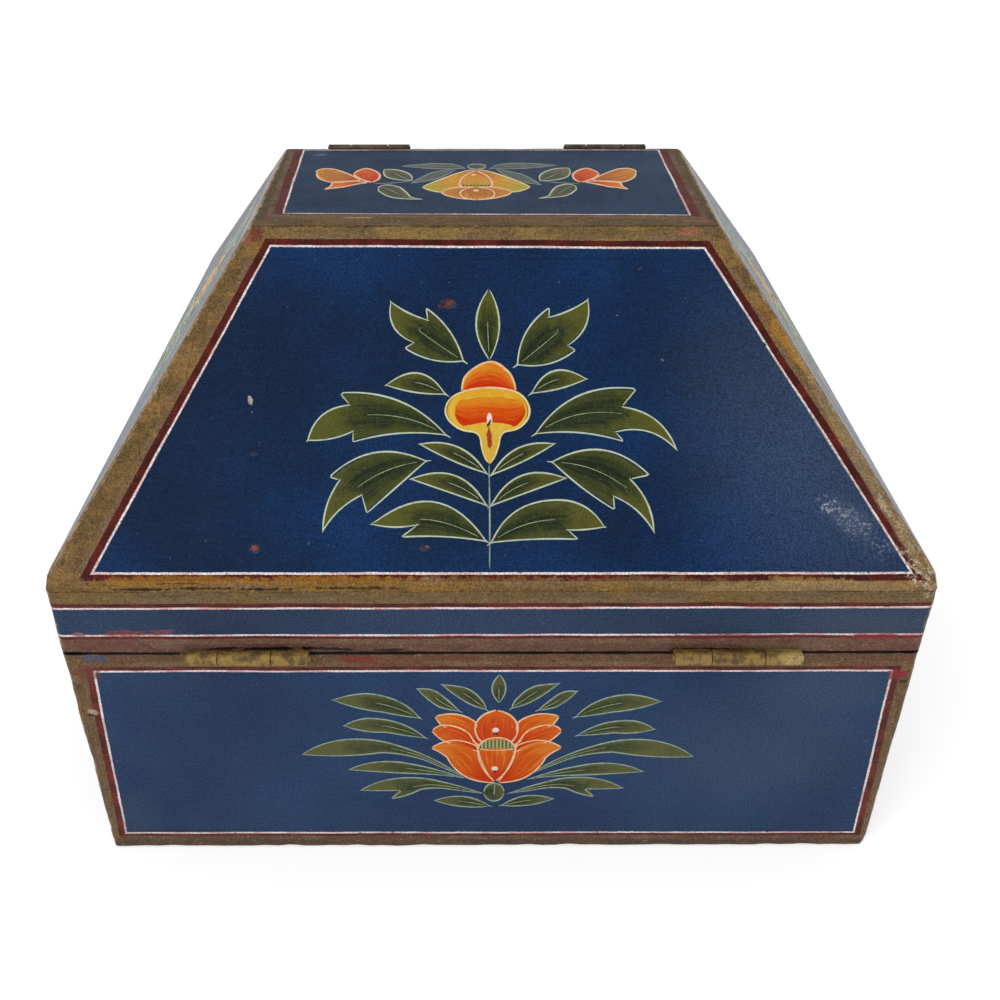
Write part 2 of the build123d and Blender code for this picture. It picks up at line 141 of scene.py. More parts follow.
baseFace = wallFaces(0.0, form["baseTop"], "base")
rimFace = wallFaces(form["lidLow"], form["eave"], "rim")
slopeFace = slopeFaces()
crownFace = faceOf((form["crownShift"], 0, form["crown"]), (-1, 0, 0), (0, -1, 0),
                   [(sx * form["crownWidth"] / 2, sy * form["crownDepth"] / 2)
                    for sx, sy in ((-1, -1), (1, -1), (1, 1), (-1, 1))], "crown", True)


def onFace(face, points):  # (u, v) of points in space
    rel = points - face["origin"]
    return np.stack([rel @ face["u"], rel @ face["v"]], -1)


def fromFace(face, uv, lift=0.0):  # points in space from (u, v) and a height above the face
    uv = np.asarray(uv, float)
    lift = np.broadcast_to(lift, uv.shape[:-1])[..., None]
    return face["origin"] + uv[..., :1] * face["u"] + uv[..., 1:2] * face["v"] + lift * face["n"]


def borderDistances(corner, uv):  # distance inwards from the side edges, the lower edge and the upper edge

    def inward(a, b):
        along = (b - a) / np.linalg.norm(b - a)
        return (uv - a) @ np.array([-along[1], along[0]])
    side = np.minimum(inward(corner[3], corner[0]), inward(corner[1], corner[2]))
    return np.stack([side, inward(corner[0], corner[1]), inward(corner[2], corner[3])], -1)


def panelDistances(face, uv):  # the same, from the middle of the pale line
    if face["line"] is not None:
        return borderDistances(face["line"], uv)
    return borderDistances(face["outline"], uv) - face["inset"]


# Smooth noise for shapes: a sum of sine waves in random directions, between about -1 and 1.
def softNoise(points, size, seed, waves=9):
    rng = np.random.default_rng(seed)
    direction = rng.normal(size=(waves, 3))
    direction /= np.linalg.norm(direction, axis=1)[:, None]
    pace = rng.uniform(0.7, 1.5, waves) * 2 * math.pi / size
    phase = rng.uniform(0, 2 * math.pi, waves)
    return np.sin((points @ direction.T) * pace + phase).sum(-1) / math.sqrt(waves * 1.6)


def shade(hexText):  # an sRGB colour as the linear one that Blender takes
    parts = [int(hexText[i:i + 2], 16) / 255 for i in (0, 2, 4)]
    return tuple(c / 12.92 if c <= 0.04045 else ((c + 0.055) / 1.055) ** 2.4 for c in parts) + (1.0,)


# Materials: a short hand for nodes. make adds a node, sets its inputs by name and its settings.
# An input is another node's socket, a number, or a colour as six hexadecimal digits.
def nodeBench(name):
    material = bpy.data.materials.new(name)
    material.use_nodes = True
    tree = material.node_tree
    shader = tree.nodes["Principled BSDF"]

    def put(socket, value):
        if isinstance(value, bpy.types.NodeSocket):
            tree.links.new(value, socket)
        else:
            socket.default_value = shade(value) if isinstance(value, str) else value

    def make(kind, inputs, output=0, **settings):
        node = tree.nodes.new("ShaderNode" + kind)
        for key, value in settings.items():
            setattr(node, key, value)
        for key, value in inputs.items():
            put(node.inputs[key], value)
        return node.outputs[output]

    def calc(operation, a, b=0.0, c=0.0):
        return make("Math", {0: a, 1: b, 2: c}, operation=operation)

    def times(a, b):
        return calc("MULTIPLY", a, b)

    def mix(factor, a, b, blend="MIX"):
        return make("Mix", {0: factor, 6: a, 7: b}, output=2, data_type="RGBA", blend_type=blend)

    def tint(color, mask, amount, tone):  # a share of the colour gives way to the tone under the mask
        return mix(times(mask, amount), color, tone)

    def noise(vector, scale, detail=2.0, rough=0.5, twist=0.0):
        return make("TexNoise", {"Vector": vector, "Scale": scale, "Detail": detail,
                                 "Roughness": rough, "Distortion": twist})

    def drawnOut(vector, sizes, *settings):  # noise stretched along one axis, as a brush or the grain does
        return noise(make("Mapping", {"Vector": vector, "Scale": sizes}), *settings)

    def step(value, low, high):  # 0 below low, 1 above high, smooth between
        return make("MapRange", {0: value, 1: low, 2: high}, interpolation_type="SMOOTHSTEP")

    def parts(attribute):  # the three numbers that a mesh attribute holds
        split = make("SeparateXYZ", {0: make("Attribute", {}, output=1, attribute_name=attribute)}).node
        return [split.outputs[i] for i in range(3)]

    def finish(color, rough, height, bump=0.4, depth=0.0004, metal=0.0, specular=0.4):
        put(shader.inputs["Base Color"], color)
        put(shader.inputs["Roughness"], rough)
        put(shader.inputs["Specular IOR Level"], specular)
        put(shader.inputs["Metallic"], metal)
        relief = {"Strength": bump, "Distance": depth, "Height": height}
        put(shader.inputs["Normal"], make("Bump", relief))
        return material

    place = make("TexCoord", {}, output=3)
    return {"make": make, "calc": calc, "times": times, "mix": mix, "tint": tint, "noise": noise,
            "drawnOut": drawnOut, "step": step, "parts": parts, "finish": finish, "place": place}


# Old oil paint on boards. From the edge inwards: an olive and ochre border over worn wood,
# a dark red stripe, a thin pale line and the blue panel. Widths are in millimetres; triples
# belong to the side, the lower and the upper edge of a face.
paintLook = {
    "slope": {"blue": ("001a3a", "052d5a", "1c4469"), "streak": 0.25, "gloss": 0.50,
              "specular": 0.13, "grit": 4.2,
              "red": (3.4, 3.0, 3.3), "redTones": ("3c0d0a", "5c1a13"), "lineTones": ("ece2e0", "e2c4c0"),
              "side": ("6c5230", "8a693c"), "low": ("74552b", "8a6630"), "high": ("6f5a38", "8c7040"),
              "seam": (0.0, 0.0), "dashes": 0.7, "flush": 1},
    "rim": {"blue": ("22324c", "2a405c", "424f66"), "streak": 0.35, "gloss": 0.50,
            "specular": 0.14, "grit": 3.4,
            "red": (0.0, 1.8, 2.4), "redTones": ("461a18", "642a25"), "lineTones": ("ecdcda", "dba8a4"),
            "side": ("60503c", "6f5a3e"), "low": ("603e36", "714f42"), "high": ("6c573c", "7a5f38"),
            "seam": (1.0, 0.0), "dashes": 0.3, "flush": 2},
    "base": {"blue": ("1a3054", "223e62", "3c4e68"), "streak": 0.40, "gloss": 0.50,
             "specular": 0.14, "grit": 3.4,
             "red": (3.2, 1.9, 2.3), "redTones": ("4c1f1b", "702f28"), "lineTones": ("ecdfe0", "d3b0b0"),
             "side": ("604833", "735839"), "low": ("4f3d36", "604638"), "high": ("654733", "704838"),
             "seam": (0.4, 1.0), "dashes": 0.3},
    "crown": {"blue": ("0c2240", "163452", "2e4260"), "streak": 0.30, "gloss": 0.50,
              "specular": 0.07, "grit": 5.0,
              "red": (4.2, 1.6, 1.0), "redTones": ("45120e", "601e18"), "lineTones": ("e6dcda", "c9a8a4"),
              "side": ("45301c", "583e24"), "low": ("564225", "6e5430"), "high": ("564225", "6e5430"),
              "seam": (0.0, 0.2), "dashes": 0.0}}
paintLook["slopeSide"] = {**paintLook["slope"], "specular": 0.45, "gloss": 0.38}

# Wear and painted sheen on the back: (u, v, half width, half height, turn in degrees, colour,
# strength, raggedness). A raggedness of 0 is a soft haze of painted sheen, one of 2 or more a
# patch broken up into flecks.
wearAndSheenMarks = {
    "slopeBack": [
        # the first mark, a wide pale haze over the right of the panel, is painted sheen
        (130, 60, 75, 110, 15, "48566c", 0.42, 0), (-17, 119, 3.8, 2.2, 0, "4e3a3c", 0.7, 1.2),
        (-16.5, 119.3, 1.7, 1.1, 20, "7c3d26", 0.8, 1.0), (-19.5, 118.6, 1.0, 0.8, 0, "2c1a16", 0.9, 0.6),
        (-95.5, 77.5, 1.0, 2.0, 10, "b9b2ac", 0.85, 0.9), (-90.6, 17, 2.4, 2.0, 0, "46424a", 0.7, 1.0),
        (-90.8, 17.2, 1.3, 0.9, 0, "8a4a34", 0.9, 1.0), (-25.5, 17.2, 2.2, 1.4, 0, "4a3a40", 0.7, 1.2),
        (-24.6, 17.6, 0.8, 0.6, 0, "7a5a4c", 0.6, 0.8), (-93, 55, 1.6, 0.9, 0, "40405a", 0.5, 0.8),
        # the first mark on this line, a soft haze near the lower right corner, is painted sheen
        (138, 29, 16, 9, -38, "5f6d80", 0.30, 0), (139, 27.5, 10, 4.0, -36, "9aa4b2", 0.55, 2.4),
        (131, 33, 4.5, 2.6, -42, "a4aebc", 0.75, 2.4), (150, 18, 5, 5, -50, "7d8896", 0.3, 2.4),
        (120, 31, 6.5, 0.35, -13, "0a1428", 0.45, 1.2), (150, 34, 15, 2.2, -62.5, "5a221e", 0.6, 1.2),
        # pale flecks down the right hip are worn paint; at its foot, the second mark here and the marks at
        # (161, 9) and (165, 3.4) are also a painted highlight on the corner
        (158, 24, 11, 2.2, -62, "b9ad92", 0.70, 2.2), (166, 6, 4, 5, -60, "d2c8b0", 0.75, 2.2),
        (152.4, 33, 3.6, 1.3, -62, "c4ae94", 0.7, 1.7),
        (156.0, 27, 6.5, 1.0, -63, "a39478", 0.8, 2.2), (161, 9, 7, 2.2, -60, "c8baa0", 0.8, 2.2),
        (165, 3.4, 6, 2.4, -35, "d8ccb2", 0.8, 2.2), (163, 0.6, 2.0, 1.2, 0, "2c2a24", 0.8, 0.9),
        (121, 98.5, 17, 2.0, -59.5, "a67428", 0.8, 1.2), (125, 92, 10, 1.4, -60, "b8883a", 0.6, 2.0),
        (111, 114, 3.5, 1.2, -60, "7a5230", 0.6, 1.2), (83, 150.6, 6.5, 1.4, 0, "a4614c", 0.75, 1.5),
        (-96.5, 150, 3.2, 4.0, -25, "6c3028", 0.8, 1.0), (-100, 147.5, 1.6, 3.2, -30, "8a5848", 0.6, 1.0),
        (-118, 4.4, 36, 2.0, 0, "9c6c22", 0.6, 1.1), (-62, 4.8, 34, 1.5, 0, "a06e24", 0.6, 1.1),
        (-10, 4.4, 36, 1.7, 0, "8e682e", 0.4, 1.8), (62, 4.2, 34, 1.7, 0, "8e7444", 0.35, 1.8),
        # the last mark on this line and the first on the next are long pale strips along the eave and the
        # right hip: worn paint with a painted highlight along those edges
        (118, 4, 16, 1.6, 0, "a88a4c", 0.45, 1.6), (125, 1.0, 55, 3.2, 0, "a58c6a", 0.35, 0.3),
        (143, 54, 62, 2.6, -65.5, "a08c6c", 0.40, 0.3), (-132, 1.2, 10, 0.5, 0, "1b140b", 0.9, 1.5),
        (-110, 1.6, 12, 0.5, 0, "1b140b", 0.9, 1.5), (-86, 1.2, 9, 0.5, 0, "1b140b", 0.9, 1.5),
        (-52, 1.6, 15, 0.5, 0, "1b140b", 0.8, 1.6), (-118, 3.4, 9, 0.35, 0, "1b140b", 0.7, 1.5),
        (-58, 3.6, 20, 0.45, 0, "2a2012", 0.7, 2.2), (-10, 2.8, 14, 0.6, 0, "2a2012", 0.6, 2.2),
        (-22, 4.4, 9, 1.4, 0, "8a8074", 0.6, 2.2), (12, 4.0, 18, 1.4, 0, "857b70", 0.5, 2.2)],
    "rimBack": [
        (-141, 125.4, 10, 1.7, 0, "86403a", 0.6, 1.3), (-128, 126.2, 5, 1.2, 0, "94504a", 0.5, 1.3),
        (-160.6, 124.9, 2.2, 1.2, 0, "8d6268", 0.85, 0.9), (-149, 120, 20, 2.8, 0, "6a3c36", 0.6, 1.6),
        (-120, 119, 16, 2.4, 0, "7c5e54", 0.5, 1.7), (-86, 117.4, 13, 1.0, 0, "0f0a07", 0.97, 1.4),
        (-104, 117.8, 8, 0.6, 4, "0f0a07", 0.9, 1.4), (-63, 117.4, 12, 0.7, -3, "0f0a07", 0.9, 1.6),
        (-40, 116.8, 9, 0.6, 2, "0f0a07", 0.85, 1.6), (150, 123.2, 17, 1.3, 0, "8a2c34", 0.75, 0.9),
        (100, 123.6, 40, 0.9, 0, "6e2a30", 0.7, 0.9),
        (118, 118.6, 22, 1.6, 0, "74654c", 0.6, 1.6), (165, 144, 3, 1.0, -15, "c8bb9a", 0.6, 2.0),
        # the last mark on this line, a soft haze on the right of the rim, is painted sheen
        (30, 118.4, 50, 2.0, 0, "64483c", 0.5, 1.6), (150, 131, 50, 16, 0, "4c566c", 0.40, 0),
        (84, 116.8, 14, 0.7, 0, "0f0a07", 0.9, 1.5)],
    "baseBack": [
        (-157.5, 112.6, 7, 1.6, 0, "4c5468", 0.75, 1.4), (-53, 111.8, 8, 2.2, 0, "74302a", 0.75, 1.4),
        (-14, 112.6, 9, 1.2, 0, "703a30", 0.5, 1.6), (162.5, 103.6, 4.5, 2.6, 0, "842f2e", 0.85, 1.0),
        (166, 99.5, 2.2, 1.0, 0, "2c221c", 0.8, 0.9), (-163.4, 83.6, 2.4, 1.6, 0, "b09c88", 0.85, 1.1),
        (-164.4, 82.2, 1.8, 0.9, 0, "2e2018", 0.85, 0.9), (-162.5, 104.5, 7, 3.4, -10, "6c3a33", 0.7, 1.2),
        # the last mark on this line and all the marks on the next two lines are soft hazes of painted sheen
        (-130, 11.6, 30, 0.35, 0, "1e1812", 0.7, 1.8), (110, 60, 70, 50, 10, "46546c", 0.35, 0),
        (135, 98, 50, 22, 0, "4a586e", 0.35, 0),
        (-125, 100, 34, 10, 0, "34405a", 0.30, 0), (-155, 20, 18, 24, 0, "3e4a60", 0.30, 0)],
    "crownBack": [(-80, 45, 3.0, 1.0, 20, "6d7f92", 0.6, 0.9), (-91, -47, 2.2, 3.5, 10, "6c3830", 0.8, 1.1),
                  (90, -50, 8, 1.6, 0, "94584a", 0.7, 1.6), (0, -47.5, 80, 1.4, 0, "6a3a30", 0.4, 1.5),
                  (-52, -46, 7, 0.5, 0, "a89c90", 0.8, 1.4)]}
paintLook.update({"slopeBack": paintLook["slope"], "rimBack": paintLook["rim"], "baseBack": paintLook["base"],
                  "crownBack": paintLook["crown"]})


# Patterns of the paint: noise by its scale on Object coordinates, its detail and roughness, and
# strokes by how the face map is stretched, scale, detail, roughness and twist.
paintNoise = {"wander": (30, 1, 0.5), "ragged": (520, 2, 0.5), "clouds": (13, 3, 0.55),
              "mottle": (850, 3, 0.75), "speck": (620, 4, 0.75), "redTone": (130, 3, 0.5),
              "lineTone": (75, 2, 0.5), "lineWidth": (60, 2, 0.5), "held": (340, 3, 0.75),
              "rub": (190, 5, 0.72), "dirt": (260, 4, 0.72), "seam": (110, 3, 0.5),
              "chips": (270, 2, 0.8), "frayed": (240, 5, 0.75), "flecks": (700, 4, 0.8),
              "grit": (1250, 3, 0.8), "gloss": (60, 3, 0.5)}
paintStrokes = {"streaks": ((1.6, 42, 1), 5, 4, 0.65, 0.5), "flat": ((3, 70, 1), 4, 5, 0.68, 0.6),
                "tall": ((70, 5, 1), 4, 5, 0.68, 0.6), "patch": ((1.2, 3.0, 1), 3.0, 5, 0.65, 0.4),
                "dashes": ((2.4, 90, 1), 4, 4, 0.7, 0.4)}
wornTones = {"rubbed": "846a52", "grainDark": "463a22", "grainPale": "9a8558", "speckPale": "a49266",
             "speckDark": "30281a", "dash": "1f170d", "redWorn": "8a6450", "barePale": "b3a07c",
             "bareDark": "7c6848", "dirt": "282017", "seam": "120c08", "chip": "8c8f98"}
softEdge = 0.14  # millimetres over which one colour of the paint turns into the next


def paintMaterial(name, look, marks=()):
    kit, tone = nodeBench(name), wornTones
    make, calc, times, mix, tint, step = (kit[k] for k in ("make", "calc", "times", "mix", "tint", "step"))
    face = make("UVMap", {}, uv_map="face")

    def spots(key):
        return kit["noise"](kit["place"], *paintNoise[key])

    def strokes(key):
        return kit["drawnOut"](face, *paintStrokes[key])

    def centred(value, share):  # a pattern about 0 instead of about a half
        return times(calc("SUBTRACT", value, 0.5), share)

    def least(values):
        return calc("MINIMUM", values[0], calc("MINIMUM", values[1], values[2]))

    # distances in millimetres from the arrises, from the painted line and from the red stripe's outer side
    edge, panel = kit["parts"]("border"), kit["parts"]("panel")
    drift = calc("ADD", centred(spots("wander"), 0.8), centred(spots("ragged"), 0.36))
    inner = calc("ADD", least(panel), drift)
    redInner = calc("ADD", least([calc("ADD", p, width) for p, width in zip(panel, look["red"])]),
                    times(drift, 1.5))
    onPanel = step(inner, -softEdge, softEdge)
    atLow = calc("LESS_THAN", panel[1], calc("MINIMUM", panel[0], panel[2]))
    atHigh = calc("LESS_THAN", panel[2], calc("MINIMUM", panel[0], panel[1]))

    # the blue panel: broad clouds, brush streaks along the board, fine mottle
    streaks, mottle = strokes("streaks"), spots("mottle")
    dark, blue, faded = look["blue"]
    field = mix(step(spots("clouds"), 0.34, 0.68), dark, blue)
    field = tint(field, step(streaks, 0.46, 0.78), look["streak"], faded)
    field = tint(field, step(mottle, 0.50, 0.80), 0.40, faded)
    field = tint(field, step(mottle, 0.50, 0.30), 0.55, dark)

    # the border, streaked along its edge
    flat, tall = strokes("flat"), strokes("tall")
    grain = calc("MULTIPLY_ADD", calc("ADD", atLow, atHigh), calc("SUBTRACT", flat, tall), tall)
    patch, speck = strokes("patch"), spots("speck")
    side, low, high = (mix(step(patch, 0.44, 0.60), *look[k]) for k in ("side", "low", "high"))
    worn = mix(atHigh, mix(atLow, side, low), high)
    nearRed = times(step(redInner, -3.4, -2.0), step(patch, 0.60, 0.40))
    worn = tint(worn, nearRed, 0.55, tone["rubbed"])
    for pattern, start, end, amount, key in ((grain, 0.50, 0.66, 0.65, "grainDark"),
                                             (grain, 0.44, 0.30, 0.35, "grainPale"),
                                             (speck, 0.54, 0.72, 0.50, "speckPale"),
                                             (speck, 0.45, 0.30, 0.75, "speckDark")):
        worn = tint(worn, step(pattern, start, end), amount, tone[key])
    dashes = times(times(step(strokes("dashes"), 0.60, 0.645), atLow), step(edge[1], 5.5, 1.5))
    worn = tint(worn, dashes, look["dashes"], tone["dash"])

    # the red stripe and the pale line, over the border and under the panel's edge
    red = mix(step(spots("redTone"), 0.35, 0.68), *look["redTones"])
    red = tint(red, step(speck, 0.56, 0.72), 0.30, tone["redWorn"])
    pale = mix(step(spots("lineTone"), 0.42, 0.62), *look["lineTones"])
    color = mix(step(redInner, -0.16, 0.16), worn, red)
    color = mix(onPanel, color, field)
    halfLine = calc("MULTIPLY_ADD", spots("lineWidth"), 0.30, 0.27)
    away = calc("SUBTRACT", calc("ABSOLUTE", inner), halfLine)
    line = times(step(away, 0.16, -0.10), step(spots("held"), 0.27, 0.37))
    color = mix(line, color, pale)

    # wear at the arrises: bare wood, dirt, and a black seam where two boards meet
    bare = times(step(calc("MULTIPLY_ADD", spots("rub"), -4.5, edge[0]), -1.15, -1.9), 0.8)
    color = mix(bare, color, mix(step(grain, 0.4, 0.7), tone["barePale"], tone["bareDark"]))
    loose = [distance for k, distance in enumerate(edge) if k != look.get("flush")]
    nearest = least((loose[0], loose[1], loose[-1]))
    dirt = step(calc("MULTIPLY_ADD", spots("dirt"), -4.0, nearest), -1.5, -2.1)
    color = tint(color, dirt, 0.75, tone["dirt"])
    for seamEdge, strength in zip(edge[1:], look["seam"]):
        seam = step(calc("MULTIPLY_ADD", spots("seam"), -1.4, seamEdge), 0.05, -0.25)
        color = tint(color, seam, strength, tone["seam"])
    color = tint(color, step(spots("chips"), 0.745, 0.765), 0.35, tone["chip"])

    # the marks: how far a point is from a mark's middle, in half widths, roughened by its raggedness
    frayed, flecks = centred(spots("frayed"), 3.0), step(spots("flecks"), 0.49, 0.57)
    for u, v, halfWidth, halfHeight, turn, hue, strength, fray in marks:
        local = make("Mapping", {"Vector": face, "Location": (u / mapUnit, v / mapUnit, 0),
                                 "Rotation": (0, 0, math.radians(turn)),
                                 "Scale": (halfWidth / mapUnit, halfHeight / mapUnit, 1)},
                     vector_type="TEXTURE")
        far = make("VectorMath", {0: local}, output=1, operation="LENGTH")
        # a raggedness of 0: a soft haze of painted sheen, on the panel only
        if fray == 0:
            mask = times(step(far, 1.0, 0.1), onPanel)
        elif fray < 2:
            mask = step(calc("MULTIPLY_ADD", frayed, fray, far), 1.15, 0.75)
        else:
            mask = times(step(calc("MULTIPLY_ADD", frayed, fray, far), 1.4, 0.3), flecks)
        color = tint(color, mask, strength, hue)

    # fine grit over everything, stronger or weaker on the panel than on the border
    borderGrit = 3.1
    swing = calc("MULTIPLY_ADD", onPanel, look["grit"] - borderGrit, borderGrit)
    grit = calc("SUBTRACT", spots("grit"), 0.5)
    color = mix(1.0, color, calc("MULTIPLY_ADD", grit, swing, 1.02), "MULTIPLY")
    gloss = calc("MULTIPLY_ADD", spots("gloss"), 0.25, look["gloss"] - 0.1)
    height = calc("ADD", calc("ADD", times(streaks, 0.5), times(line, 0.35)), times(mottle, 0.5))
    height = calc("SUBTRACT", height, times(bare, 0.8))
    return kit["finish"](color, gloss, height, bump=0.5, depth=0.00025, specular=look["specular"])


def woodMaterial(name, light, dark, stain):  # bare pine with its grain along the board
    kit = nodeBench(name)
    times, mix, tint, step = (kit[k] for k in ("times", "mix", "tint", "step"))
    face = kit["make"]("UVMap", {}, uv_map="face")
    grain = kit["drawnOut"](face, (1.0, 22, 1), 3.0, 6, 0.65, 0.8)
    fine = kit["drawnOut"](face, (6, 240, 1), 3.0, 3, 0.6)
    color = mix(step(grain, 0.38, 0.66), light, dark)
    color = tint(color, step(fine, 0.5, 0.75), 0.35, dark)
    color = tint(color, step(kit["noise"](kit["place"], 16, 3), 0.5, 0.75), 0.4, stain)
    height = kit["calc"]("ADD", grain, times(fine, 0.6))
    return kit["finish"](color, 0.72, height, specular=0.25)


bareWood = woodMaterial("bare pine", "a98558", "7c5a36", "5a4128")
paint = {name: paintMaterial(name + " paint", look, wearAndSheenMarks.get(name, ()))
         for name, look in paintLook.items()}
print("paints ready")


# What all boards share, in millimetres: the grid's lines near an arris, the step beyond them and
# the gap that stays free in the middle, the radius of a sharp arris, what share of a radius comes
# and goes and over what distance, over what distance wear does, how softly a slope turns plumb at
# its foot, how far paint runs round an arris, and the distance that stands for no paint nearby.
boardLook = {"nearLines": [0, 0.15, 0.3, 0.5, 0.8, 1.2, 1.7, 2.3, 3.0, 4.2, 6.0, 9.0], "lineStep": 6.0,
             "lineGap": 0.2, "sharp": 0.08, "uneven": 0.22, "unevenSize": 30, "wornSize": 9,
             "footTurn": 0.25, "paintOver": 0.9, "unpainted": 50.0}


def gridLines(length):  # places of the grid lines along one edge of a board
    near = np.array(boardLook["nearLines"])
    near = near[near < length / 2 - boardLook["lineGap"]]
    count = max(2, round((length - 2 * near[-1]) / boardLook["lineStep"]) + 1)
    return np.concatenate([near, np.linspace(near[-1], length - near[-1], count)[1:-1], length - near[::-1]])


def boxGrid(size):  # the six sides of a box as grids: points, quads, and the side of each quad
    lines = [gridLines(s) for s in size]
    flat, quads, sideOfQuad = [], [], []
    count = 0
    for axis in range(3):
        across, up = (axis + 1) % 3, (axis + 2) % 3
        for end in range(2):
            a, b = np.meshgrid(lines[across], lines[up], indexing="ij")
            points = np.zeros(a.shape + (3,))
            points[..., across], points[..., up], points[..., axis] = a, b, size[axis] * end
            index = np.arange(a.size).reshape(a.shape) + count
            ring = [index[:-1, :-1], index[1:, :-1], index[1:, 1:], index[:-1, 1:]]
            quads.append(np.stack(ring if end else ring[::-1], -1).reshape(-1, 4))
            sideOfQuad.append(np.full(len(quads[-1]), axis * 2 + end))
            flat.append(points.reshape(-1, 3))
            count += a.size
    return np.concatenate(flat), np.concatenate(quads), np.concatenate(sideOfQuad)


# Gives a mesh its materials and smoothness by face, its face map, and its other values.
def dress(mesh, materials, slots, smooth, uv, vectors, domain="CORNER"):
    for material in materials:
        mesh.materials.append(material)
    mapped = (uv / mapUnit).astype(np.float32)
    mesh.uv_layers.new(name="face").data.foreach_set("uv", mapped.ravel())
    for key, values in vectors.items():
        data = mesh.attributes.new(key, "FLOAT_VECTOR", domain).data
        data.foreach_set("vector", values.astype(np.float32).ravel())
    mesh.polygons.foreach_set("material_index", np.array(slots, np.int32))
    mesh.polygons.foreach_set("use_smooth", np.array(smooth, bool))
    mesh.update()
    return mesh


def cornerPoints(mesh):  # the point that each corner of each face uses
    points = np.zeros(len(mesh.loops), np.int32)
    mesh.loops.foreach_get("vertex_index", points)
    return points


# A board is a box with rounded edges, carried onto eight corners. A point of the box is
# pulled in to the inner box, one radius smaller all round, and pushed out again by that
# radius, which rounds the edges; then the eight corners are blended in proportion.
# corners[i][j][k] is the corner at end i of the length, j of the depth and k of the height.
def boardMesh(name, corners, rounds, faces, wear, seed):
    corners = np.array(corners, float)
    size = np.array([np.linalg.norm(np.diff(corners, axis=k), axis=-1).mean() for k in range(3)])

    def carry(points):
        t = points / size
        out = 0
        for i, j, k in np.ndindex(2, 2, 2):
            share = (t[:, 0] if i else 1 - t[:, 0]) * (t[:, 1] if j else 1 - t[:, 1])
            out = out + (share * (t[:, 2] if k else 1 - t[:, 2]))[:, None] * corners[i, j, k]
        return out

    flat, quads, sideOfQuad = boxGrid(size)
    first = corners[0, 0, 0]
    if np.linalg.det([corners[1, 0, 0] - first, corners[0, 1, 0] - first, corners[0, 0, 1] - first]) < 0:
        quads = quads[:, ::-1]
    points, where = np.unique(np.round(flat, 5), axis=0, return_inverse=True)
    where = where.reshape(-1)

    # the radius stands along each axis, so that a round corner can meet a sharp arris
    radius = np.full((len(points), 3), boardLook["sharp"])
    for (axisA, endA), (axisB, endB), rounding in rounds:
        away = np.hypot(points[:, axisA] - size[axisA] * endA, points[:, axisB] - size[axisB] * endB)
        near = rounding * np.clip(1.6 - away / (3 * rounding), 0, 1)
        for axis in (axisA, axisB):
            radius[:, axis] = np.maximum(radius[:, axis], near)
    world = carry(points)
    radius *= (1 + boardLook["uneven"] * softNoise(world, boardLook["unevenSize"], seed))[:, None]
    inner = np.clip(points, radius, size - radius)
    out = (points - inner) / radius
    reach = np.linalg.norm(out, axis=1)
    out = out / np.maximum(reach, 1e-9)[:, None]
    shaped = inner + out * radius
    edgeness = np.clip((np.sort(np.abs(out), axis=1)[:, 1]) * 2.2, 0, 1)
    dents = np.clip(softNoise(world, boardLook["wornSize"], seed + 1), 0, 1)
    place = carry(shaped - out * (edgeness * wear * dents)[:, None])

    # what would stand past the plumb foot is drawn in to it, with a soft turn
    over = (np.abs(place[:, 0]) - form["halfWidth"]) / boardLook["footTurn"]
    place[:, 0] -= np.sign(place[:, 0]) * np.logaddexp(0, over) * boardLook["footTurn"]
    # in plan each corner of the box keeps within a circle of the corner's radius
    z, turn = place[:, 2], form["corner"]
    wide = np.where(place[:, 0] < 0, -sideOut(-1, z), sideOut(1, z))
    limit = np.minimum(form["halfWidth"], wide), np.minimum(form["halfDepth"], longOut(z))
    centre = np.stack(limit, -1) - turn
    past = np.abs(place[:, :2]) - centre
    pull = np.where(past.min(axis=1) > 0, np.maximum(np.linalg.norm(past, axis=1) / turn, 1), 1)
    place[:, :2] = np.sign(place[:, :2]) * (centre + past / pull[:, None])
    mesh = bpy.data.meshes.new(name)
    mesh.from_pydata((place * toMetres).tolist(), [], where[quads].tolist())

    # each painted side takes its own quads and a narrow strip of the sides next to it
    loops = quads.reshape(-1)
    flatWorld = carry(flat)
    uv, border, panel = (np.full((len(loops), k), boardLook["unpainted"]) for k in (2, 3, 3))
    slot, materials = np.zeros(len(quads), int), [bareWood]
    middle = flat[quads].mean(1)
    coat = np.where(np.isin(sideOfQuad, list(faces)), sideOfQuad, -1)
    for side, (face, material) in faces.items():
        fromSide = np.abs(middle[:, side // 2] - size[side // 2] * (side % 2))
        coat[(coat < 0) & (fromSide < boardLook["paintOver"])] = side
        chosen = np.repeat(coat == side, 4)
        uv[chosen] = onFace(face, flatWorld[loops[chosen]])
        border[chosen] = borderDistances(face["outline"], uv[chosen])
        panel[chosen] = panelDistances(face, uv[chosen])
        materials.append(material)
        slot[coat == side] = len(materials) - 1
    for side in range(6):  # bare sides: the grain runs along the longer edge, elsewhere on every board
        chosen = np.repeat((sideOfQuad == side) & (coat < 0), 4)
        rest = sorted((k for k in range(3) if k != side // 2), key=lambda k: -size[k])
        uv[chosen] = flat[loops[chosen]][:, rest] + seed * 37
    return dress(mesh, materials, slot, np.ones(len(quads)), uv, {"border": border, "panel": panel})


def addPiece(mesh, body, slotName, *nodes):
    piece = bpy.data.objects.new(mesh.name, mesh)
    bpy.context.collection.objects.link(piece)
    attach(piece, body)
    if nodes:
        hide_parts(*nodes)


def upright(xs, ys, zs):  # the eight corners of a plain board
    return [[[(x, y, z) for z in zs] for y in ys] for x in xs]


def arris(axes, ends, radius):  # the edge where two sides meet, each by its axis and its end, 0 or 1
    return [("xyz".index(axis), end) for axis, end in zip(axes, ends)] + [radius]


